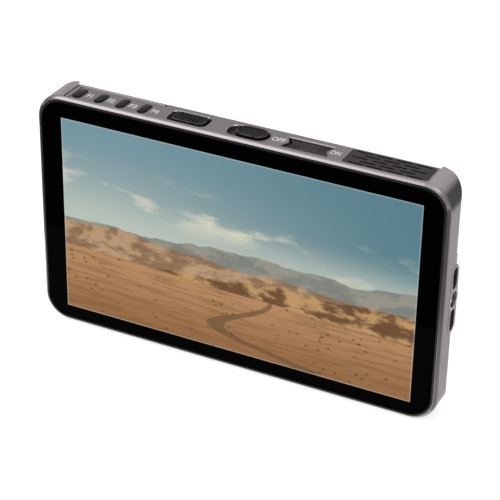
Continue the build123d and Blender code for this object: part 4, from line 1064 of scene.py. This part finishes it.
@dataclass
class Display(Assembly):
    """Front glass with the lit picture, and the cell and backlight behind it."""

    COATS = (
        (LitGlass("coated_glass", tone(2, 2, 3), 0.03, specular=0.012, grain_size=0.6, mottle=0.2),
         "cover_glass"),
        (Finish("display_cell", tone(24, 26, 30), 0.2, mottle=0.1), "lcd_panel"),
        (Finish("backlight_tray", tone(196, 198, 198), 0.45, mottle=0.06), "backlight"),
        (Finish("frame_alloy", tone(150, 152, 154), 0.4, metallic=1.0), "mid_frame"),
    )


@dataclass
class DeckControls(Assembly):
    """Keys and sliders of the control deck, with their switches.

    Args:
        keys: Finish of the function keys.
        key_half: Half width and half length of a key.
        key_top: Height of a key's crown.
        key_edge: Radius of its upper edge.
        key_fall: What the crown falls by at half its width and at half its length.
        key_row: X of the first key, distance between two keys and depth of their middles.
        flange: Lowest height, highest height and overlap of a key's flange.
        chamfer: Chamfer of the flange.
    """

    COATS = (
        # pad_plastic's strong pale edge wear is partly wear and partly a painted highlight on the pads'
        # rims.
        (SunkPad("pad_plastic", tone(16, 14, 15), 0.36, specular=0.05, grain_size=0.12,
                 grain_depth=0.008, mottle=0.18, wear=0.9, worn_colour=tone(100, 95, 96),
                 wear_width=0.2), "jog_key lock_slider"),
        (Finish("slider_plastic", tone(44, 39, 40), 0.42, specular=0.1, grain_size=0.12,
                grain_depth=0.008, mottle=0.15, wear=0.4, worn_colour=tone(100, 94, 95),
                wear_width=0.12), "power_slider"),
        (Finish("switch_plastic", tone(40, 42, 46), 0.5),
         "tact_switches jog_switch lock_switch power_switch"),
        (Laminate("board_laminate", tone(24, 58, 44), 0.35, mottle=0.15),
         "main_board switch_board"),
    )
    keys: Finish = Finish("key_plastic", tone(16, 14, 15), 0.24, specular=0.09, grain_size=0.12,
                          grain_depth=0.003, mottle=0.16)
    key_half: Pair = (1.425, 3.3)
    key_top: float = DECK_Z + 0.45
    key_edge: float = 0.6
    key_fall: Pair = (0.12, 0.2)
    key_row: Triple = (-56.9, 7.6, 6.65)
    flange: Triple = (77.65, 78.25, 0.7)
    chamfer: float = 0.05

    def add(self) -> None:
        """Moulds the crowned keys."""
        moulded = self.keys.coat()
        for index in range(4):
            name = f"key_f{index + 1}"
            cap = face_outwards(surface(f"{name}_cap", self.cap(index)[None]))
            finish_piece(cap, moulded, f"f{index + 1}_key", (name,))

    def cap(self, index: int) -> np.ndarray:
        """Points of one key: rings of a slot outline, from its flange up to its crown.

        The outline grown by g is (w + g) (cos t, sin t) + (0, +-straight half). Up to the edge
        the rings follow the flange. The edge has the radius r: g = r (cos a - 1), with the height
        top - r + r sin a. The crown's rings are the last one times s. All that lies over the
        flange is lowered by fall w (x / w)^2 + fall l (y / l)^2.

        Args:
            index: Which key, from the left.

        Returns:
            Rings x points x 3.
        """
        width, length = self.key_half
        t = ring(64)
        side = np.where(np.sin(t) >= 0, 1.0, -1.0) * (length - width)
        low, high, lap = self.flange
        cut, neck = self.chamfer, 0.06
        foot = np.array([[lap - cut, low], [lap, low + cut], [lap, high - cut], [lap - cut, high],
                         [neck, high], [0.0, high + neck]])
        turn = np.linspace(0.0, math.pi / 2, 17)
        edge = np.stack([self.key_edge * (np.cos(turn) - 1.0),
                         self.key_top - self.key_edge * (1.0 - np.sin(turn))], axis=-1)
        share = np.linspace(1.0, 0.04, 13)[1:, None]
        rows = np.concatenate([foot, edge, np.repeat(edge[-1:], len(share), axis=0)])
        scale = np.concatenate([np.ones((len(foot) + len(edge), 1)), share])
        grown = width + rows[:, :1]
        x, y = scale * grown * np.cos(t), scale * (grown * np.sin(t) + side)
        fall = self.key_fall[0] * (x / width) ** 2 + self.key_fall[1] * (y / length) ** 2
        over = (np.arange(len(rows)) >= len(foot))[:, None]
        first, pitch, depth = self.key_row
        return grid(x + first + index * pitch, y + y_at(depth), rows[:, 1:] - np.where(over, fall, 0.0))


@dataclass
class SpeakerBay(Assembly):
    """Slotted grille over a gauze and the speaker.

    Args:
        across: Lowest and highest X of the gauze.
        depths: Lowest and highest depth of the gauze.
        height: Height of the gauze.
        dome: Rise of its middle.
        half_thick: Half of its thickness.
        gauze: Finish of the gauze.
    """

    COATS = (
        (Finish("grille_metal", tone(46, 41, 43), 0.45, metallic=0.3, specular=0.12,
                grain_size=0.14, grain_depth=0.006, mottle=0.12, wear=0.5,
                worn_colour=tone(118, 112, 112), wear_width=0.1, dust=0.05), "speaker_grille"),
        (Finish("speaker_box", tone(20, 20, 21), 0.5), "speaker"),
    )
    across: Pair = (34.4, 58.55)
    depths: Pair = (3.8, 11.3)
    height: float = 78.95
    dome: float = 0.05
    half_thick: float = 0.06
    gauze: WovenGauze = WovenGauze("speaker_gauze", tone(26, 25, 26), 0.5, metallic=0.4,
                                   grain_depth=0.06)

    def add(self) -> None:
        """Lays the gauze under the grille."""
        sheet = face_outwards(surface("speaker_gauze", self.sheet()[None]), 35.0)
        finish_piece(sheet, self.gauze.coat())

    def sheet(self) -> np.ndarray:
        """Thin closed sheet: a flat loop, 1.3 (cos t, sin t) held within 1, carried along X.

        Returns:
            Loops x points x 3.
        """
        left, right = self.across
        middle, half = y_at(sum(self.depths) / 2), (self.depths[1] - self.depths[0]) / 2
        x, t = np.linspace(left, right, 49)[:, None], ring(24)
        loop_y, loop_z = np.clip(1.3 * np.cos(t), -1, 1), np.clip(1.3 * np.sin(t), -1, 1)
        rise = self.dome * np.cos((x - (left + right) / 2) * math.pi / (right - left))
        return grid(x, middle + half * loop_y, self.height + rise + self.half_thick * loop_z)


class Facing(Enum):
    """Side of the monitor that a tripod mount looks out of."""

    RIGHT = "side"
    DOWN = "bottom"


@dataclass
class TripodMount(Assembly):
    """A threaded insert: its turned ring and the turns of its thread.

    Args:
        facing: Side that the mount looks out of.
        mouth: The middle of its mouth.
        bore: Radius of the bore.
        crest: Radius of the thread's crests.
        pitch: Pitch of the thread.
        length: Length of the threaded part.
        lead: Depth at which the thread starts.
        root: What the thread reaches into the wall of the bore.
    """

    facing: Facing
    mouth: Triple
    bore: float = 2.6
    crest: float = 2.32
    pitch: float = 1.27
    length: float = 7.2
    lead: float = 0.6
    root: float = 0.06

    def add(self) -> None:
        """Dresses the insert and winds its thread."""
        side = self.facing.value
        steel = TurnedMetal(f"turned_steel_{side}", tone(184, 179, 177), 0.28, metallic=1.0,
                            mottle=0.08, centre=self.mouth,
                            axis=0 if self.facing is Facing.RIGHT else 2)
        material = steel.coat(f"{side}_insert")
        thread = surface(f"{side}_thread", self.outwards(self.thread())[None])
        finish_piece(face_outwards(thread, 35.0), material)

    def outwards(self, points: np.ndarray) -> np.ndarray:
        """Turns points made along +Z into the mount's direction and moves them to its mouth.

        Args:
            points: Points along +Z.

        Returns:
            Points of the mount.
        """
        x, y, z = np.moveaxis(points, -1, 0)
        turned = (z, x, y) if self.facing is Facing.RIGHT else (y, x, -z)
        return grid(*turned) + np.array(self.mouth)

    def thread(self) -> np.ndarray:
        """Ridge wound in the bore.

        At angle t its section is a triangle from the bore to the crest, at z = -pitch x t / turn,
        and its height rises from 0 and falls back to 0 over a quarter turn at the two ends.

        Returns:
            Sections x points x 3.
        """
        turns = self.length / self.pitch - 1.0
        t = np.linspace(0.0, turns * math.tau, int(turns * 40))[:, None]
        ramp = np.clip(np.minimum(t, turns * math.tau - t) / (math.pi / 2), 0.02, 1.0)
        inward = (self.bore - self.crest) * ramp
        radius = self.bore + np.where([True, True, False, False], self.root, -inward)
        rise = np.array([[0.48, -0.48, -0.07, 0.07]]) * self.pitch
        z = rise * ramp - self.lead - self.pitch * t / math.tau
        return grid(radius * np.cos(t), radius * np.sin(t), z)


@dataclass
class SidePorts(Assembly):
    """Sockets in the left side."""

    COATS = (
        (Finish("socket_steel", tone(186, 186, 184), 0.3, metallic=1.0),
         "usb_socket video_in_socket video_out_socket"),
        (Finish("socket_plastic", tone(26, 26, 27), 0.42, specular=0.4), "dc_jack headphone_jack"),
    )


@dataclass
class Screws(Assembly):
    """A set of equal screws with a six-lobed drive.

    Args:
        name: Name of the piece.
        node: CAD node that the screws replace.
        head_radius: Radius of the head.
        head: Height of the head.
        radius: Radius of the shank.
        length: Length of the shank.
        seat: Depth of the seats.
        places: X and Z of each screw.
        drive: Radius of the drive.
        drive_depth: Depth of the drive.
        edge: Rounding of the head's edge.
        steel: Finish of the screws.
    """

    name: str
    node: str
    head_radius: float
    head: float
    radius: float
    length: float
    seat: float
    places: tuple[Pair, ...]
    drive: float = 1.0
    drive_depth: float = 0.55
    edge: float = 0.18
    steel: Finish = Finish("screw_steel", tone(58, 57, 58), 0.3, metallic=1.0, wear=0.6,
                           worn_colour=tone(150, 148, 146), wear_width=0.1, mottle=0.2)

    def add(self) -> None:
        """Turns the screws and sets them in their seats, looking back: (x, y, z) is (x, z, -y)."""
        x, y, z = np.moveaxis(self.profile(), -1, 0)
        seats = np.array([(left, y_at(self.seat), up) for left, up in self.places])
        copies = grid(x, z, -y)[None] + seats[:, None, None, :]
        piece = face_outwards(surface(self.name, copies), 30.0)
        finish_piece(piece, self.steel.coat(), nodes=(self.node,))

    def profile(self) -> np.ndarray:
        """One screw along +Z, its seat at the origin: each row is a ring at one height.

        The rings of the drive have the radius share x drive x (1 + 0.14 cos 6t), and the others
        are round.

        Returns:
            Rings x points x 3.
        """
        t = ring(72)
        floor, soft = self.head - self.drive_depth, 0.3 * self.edge
        lobed = np.array([[0.96, floor], [1.0, floor + 0.04], [1.0, self.head - 0.05],
                          [1.07, self.head]])
        plain = np.array([[self.head_radius - self.edge, self.head],
                          [self.head_radius - soft, self.head - soft],
                          [self.head_radius, self.head - self.edge], [self.head_radius, 0.0],
                          [self.radius, 0.0], [self.radius, 0.15 - self.length],
                          [self.radius - 0.2, -self.length]])
        lobes = lobed[:, :1] * self.drive * (1.0 + 0.14 * np.cos(6.0 * t))
        radius = np.concatenate([lobes, plain[:, :1] * np.ones_like(t)])
        z = np.concatenate([lobed, plain])[:, 1:]
        return grid(radius * np.cos(t), radius * np.sin(t), z)


@dataclass
class Back(Assembly):
    """Rear cover, battery plate, its contacts and the release button.

    Args:
        block: Finish of the terminal block, and of the dark piece that fills the lip's notch as painted
            shade.
        notch_shade_low: Lowest corner of the dark piece in the lip's notch.
        notch_shade_high: Highest corner of that piece.
        notch_shade_power: Power n of that piece's shape.
        cover_screws: Screws of the rear cover.
        plate_screws: Screws of the battery plate.
    """

    COATS = (
        (Finish("cover_metal", tone(158, 153, 154), 0.38, metallic=0.9, grain_size=0.16,
                grain_depth=0.006, mottle=0.08, wear=0.4, wear_width=0.12, dust=0.05),
         "rear_cover"),
        (Finish("plate_plastic", tone(38, 38, 39), 0.5, specular=0.4, grain_size=0.3,
                grain_depth=0.03, mottle=0.15, wear=0.3, worn_colour=tone(72, 71, 71)),
         "battery_plate"),
        (Finish("contact_brass", tone(214, 178, 104), 0.24, metallic=1.0, mottle=0.1),
         "battery_contacts"),
        (Finish("release_plastic", tone(46, 44, 45), 0.4, grain_size=0.2, grain_depth=0.02,
                wear=0.4, worn_colour=tone(84, 82, 82)), "battery_release"),
    )
    block: Finish = Finish("terminal_plastic", tone(28, 28, 30), 0.42)
    notch_shade_low: Triple = (-29.58, y_at(11.15), 79.27)
    notch_shade_high: Triple = (-28.92, y_at(12.57), 79.85)
    notch_shade_power: float = 8.0
    cover_screws: Screws = field(default_factory=lambda: Screws(
        "cover_screw_set", "cover_screws", 2.1, 0.9, 1.2, 4.5, 11.7,
        tuple((x, 39.5 + z) for x in (-50.0, 50.0) for z in (-24.0, 0.0, 24.0))))
    plate_screws: Screws = field(default_factory=lambda: Screws(
        "plate_screw_set", "plate_screws", 1.9, 1.0, 0.95, 2.7, 13.8,
        tuple((3.5 + x, 39.5 + z) for x in (-24.0, 24.0) for z in (-12.0, 12.0)), drive=0.9))

    def add(self) -> None:
        """Sets the screws, and a dark piece in the lip's notch, as painted shade, in the finish of the
        terminal block.
        """
        self.cover_screws.build()
        self.plate_screws.build()
        # dark piece that fills the lip's notch: painted shade
        notch_shade = face_outwards(surface("lip_notch_shade", self.notch_shade()[None], caps=False))
        finish_piece(notch_shade, self.block.coat("terminal_block"))

    def notch_shade(self) -> np.ndarray:
        """Dark piece that fills the lip's notch as painted shade: |x/a|^n + |y/b|^n + |z/c|^n = 1.

        Returns:
            Rings x points x 3.
        """
        def raised(value: np.ndarray) -> np.ndarray:
            """Value to the power 2 / n, with its sign kept."""
            return np.sign(value) * np.abs(value) ** (2.0 / self.notch_shade_power)

        u, v = np.linspace(-math.pi / 2, math.pi / 2, 33)[:, None], ring(64)
        low, high = np.array(self.notch_shade_low), np.array(self.notch_shade_high)
        round_u = raised(np.cos(u))
        unit = grid(round_u * raised(np.cos(v)), round_u * raised(np.sin(v)), raised(np.sin(u)))
        return (low + high) / 2 + (high - low) / 2 * unit


@dataclass
class Internals(Assembly):
    """Chips, cooler, shield and the screws that are not seen."""

    COATS = (
        (Finish("chip_resin", tone(30, 30, 32), 0.45), "processor memory_chips"),
        (Finish("sink_alloy", tone(120, 122, 126), 0.4, metallic=1.0), "heat_sink"),
        (Finish("shield_steel", tone(190, 190, 188), 0.28, metallic=1.0), "shield_can"),
        (Finish("plain_screw_steel", tone(150, 150, 150), 0.35, metallic=1.0),
         "board_screws frame_screws switch_board_screws"),
    )


# ---------------------------------------------------------------- studio

@dataclass
class Studio(Assembly):
    """Floor, reflecting cards, room, lamps and camera.

    Args:
        camera_at: Place of the camera, in metres.
        camera_back: Direction from the object to the camera.
        camera_up: Upward direction of the picture.
        lens: Focal length on a 36 mm sensor.
        floor_half: Half of the floor's width.
        floor_drop: Distance of the floor below the object.
        floor_glow: Strength of the floor's glow where it is seen.
        floor_colour: Colour of the floor.
        card_lift: Height of the cards.
        cards: Name, lowest and highest X, lowest and highest Y, and grey tone of each card.
    """

    camera_at: Triple = (0.2196879, -0.4487527, 0.3266204)
    camera_back: Triple = (0.37855, -0.77929, 0.49941)
    camera_up: Triple = (-0.23501, 0.44096, 0.86622)
    lens: float = 133.93
    floor_half: float = 20000.0
    floor_drop: float = 0.1
    floor_glow: float = 0.72
    floor_colour: Colour = (0.5, 0.5, 0.5, 1.0)
    card_lift: float = 0.5
    cards: tuple[tuple[str, Pair, Pair, Triple], ...] = (
        ("right_card", (125.0, 700.0), (-600.0, 20.0), (104, 102, 102)),
        ("right_near", (98.0, 125.0), (-600.0, -7.0), (154, 152, 152)),
        ("right_close", (69.5, 98.0), (-60.0, -7.0), (178, 176, 176)),
        ("side_near", (69.5, 125.0), (-6.8, 20.3), (232, 230, 230)),
        ("front_card", (-700.0, 109.0), (-900.0, -60.0), (30, 30, 30)),
        ("side_card", (70.0, 149.0), (20.5, 900.0), (226, 224, 224)),
        ("left_card", (-900.0, -110.0), (-59.0, 500.0), (60, 59, 59)),
        ("back_card", (150.0, 3000.0), (140.0, 3000.0), (24, 22, 22)),
    )

    def add(self) -> None:
        """Sets the floor, the light and the camera."""
        self.floor()
        self.room()
        for name, across, back, shown in self.cards:
            self.card(name, across, back, tone(*shown))
        self.lamp("key", (-0.54, -0.44, 0.72), 0.95, 0.55, 1.5)
        self.lamp("right_glint", (0.5, -0.25, 0.83), 0.8, 0.3, 1.0).visible_diffuse = False
        self.camera()

    @staticmethod
    def flat(name: str, across: Pair, back: Pair, height: float) -> Piece:
        """Flat rectangle that faces up.

        Args:
            name: Name of the piece.
            across: Its lowest and highest X.
            back: Its lowest and highest Y.
            height: Its height.

        Returns:
            The new piece.
        """
        points = grid(np.array(across[::-1])[:, None], np.array(back)[None, :], height)
        return surface(name, points[None], wrap=False, caps=False)

    def floor(self) -> None:
        """Wide pale floor just under the object, seen as white by camera, glossy and glass rays."""
        span = (-self.floor_half, self.floor_half)
        floor = self.flat("floor", span, span, -self.floor_drop)
        material = bpy.data.materials.new("floor_paper")
        material.use_nodes = True
        material.node_tree.nodes.clear()
        graph = Graph(material.node_tree)
        rays = ("Is Camera Ray", "Is Glossy Ray", "Is Transmission Ray")
        camera, glossy, glass = (graph.give("ShaderNodeLightPath", ray, {}) for ray in rays)
        seen = graph.math("MAXIMUM", graph.math("MAXIMUM", camera, glossy), glass)
        paper = graph.give("ShaderNodeBsdfDiffuse", 0, {"Color": self.floor_colour})
        glow = graph.give("ShaderNodeEmission", 0, {"Strength": seen * self.floor_glow})
        both = graph.give("ShaderNodeAddShader", 0, {0: paper, 1: glow})
        clear = graph.give("ShaderNodeBsdfTransparent", 0, {})
        below = graph.give("ShaderNodeNewGeometry", "Backfacing", {})
        sheet = graph.give("ShaderNodeMixShader", 0, {0: below, 1: both, 2: clear})
        graph.node("ShaderNodeOutputMaterial", {"Surface": sheet})
        floor.data.materials.append(material)

    def card(self, name: str, across: Pair, back: Pair, colour: Colour) -> None:
        """Card lying on the floor, which only reflections see.

        Args:
            name: Name of the card.
            across: Its lowest and highest X.
            back: Its lowest and highest Y.
            colour: Colour that it glows with.
        """
        card = self.flat(name, across, back, self.card_lift)
        cloth = MaterialGraph(f"{name}_cloth")
        cloth.feed(Base_Color=BLACK, Emission_Color=colour, Emission_Strength=1.0)
        card.data.materials.append(cloth.material)
        card.visible_camera = card.visible_diffuse = card.visible_shadow = False
        card.visible_transmission = False

    @staticmethod
    def room() -> None:
        """Soft room light, brighter on the left, with a dark patch behind on the right."""
        world = bpy.data.worlds.new("studio_room")
        world.use_nodes = True
        world.node_tree.nodes.clear()
        graph = Graph(world.node_tree)
        direction = graph.give("ShaderNodeTexCoord", "Generated", {})
        x = graph.parts(direction)[0]
        dark = graph.vector("DOT_PRODUCT", direction, (0.63, 0.775, 0.05), "Value")
        colour = graph.layers((0.82, 0.8, 0.8, 1.0), (x.step(-0.6, 0.0), (1.25, 1.22, 1.22, 1.0)),
                              (x.step(0.15, 0.75), (0.5, 0.49, 0.49, 1.0)),
                              (x.step(-0.8, -0.97), (0.3, 0.29, 0.29, 1.0)),
                              (dark.step(0.915, 0.975), (0.02, 0.02, 0.02, 1.0)))
        light = graph.give("ShaderNodeBackground", 0, {"Color": colour})
        graph.node("ShaderNodeOutputWorld", {"Surface": light})
        bpy.context.scene.world = world

    @staticmethod
    def lamp(name: str, direction: Triple, distance: float, width: float, power: float) -> Piece:
        """Square soft lamp that looks at the object.

        Args:
            name: Name of the lamp.
            direction: Direction from the object to the lamp.
            distance: Its distance in metres.
            width: Width in metres.
            power: Power in watts.

        Returns:
            The lamp.
        """
        data = bpy.data.lights.new(name, "AREA")
        data.shape = "SQUARE"
        data.size = width
        data.energy = power
        lamp = link(name, data)
        way = Vector(direction).normalized()
        lamp.matrix_world = (Matrix.Translation(Vector((0, 0, MID_Z * MM)) + way * distance)
                             @ way.to_track_quat("Z", "Y").to_matrix().to_4x4())
        return lamp

    def camera(self) -> None:
        """Camera at the given place, looking along minus camera_back."""
        data = bpy.data.cameras.new("camera")
        data.lens = self.lens
        data.sensor_width = 36.0
        data.clip_start, data.clip_end = 0.01, 100.0
        camera = link("camera", data)
        back, up = Vector(self.camera_back).normalized(), Vector(self.camera_up).normalized()
        turn = Matrix((up.cross(back), up, back)).transposed().to_4x4()
        camera.matrix_world = Matrix.Translation(self.camera_at) @ turn
        bpy.context.scene.camera = camera


def main() -> None:
    """Builds every sub-assembly in order."""
    logging.basicConfig(level=logging.INFO, format="%(name)s: %(message)s")
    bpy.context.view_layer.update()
    bpy.context.scene.view_settings.view_transform = "Standard"
    mounts = (TripodMount(Facing.RIGHT, (68.85, 0.0, MID_Z)),
              TripodMount(Facing.DOWN, (0.0, 0.0, 0.0)))
    for assembly in (Housing(), DeckMarks(), Display(), DeckControls(), SpeakerBay(), *mounts,
                     SidePorts(), Back(), Internals(), Studio()):
        assembly.build()
    bpy.context.view_layer.update()


if __name__ == "__main__":
    main()
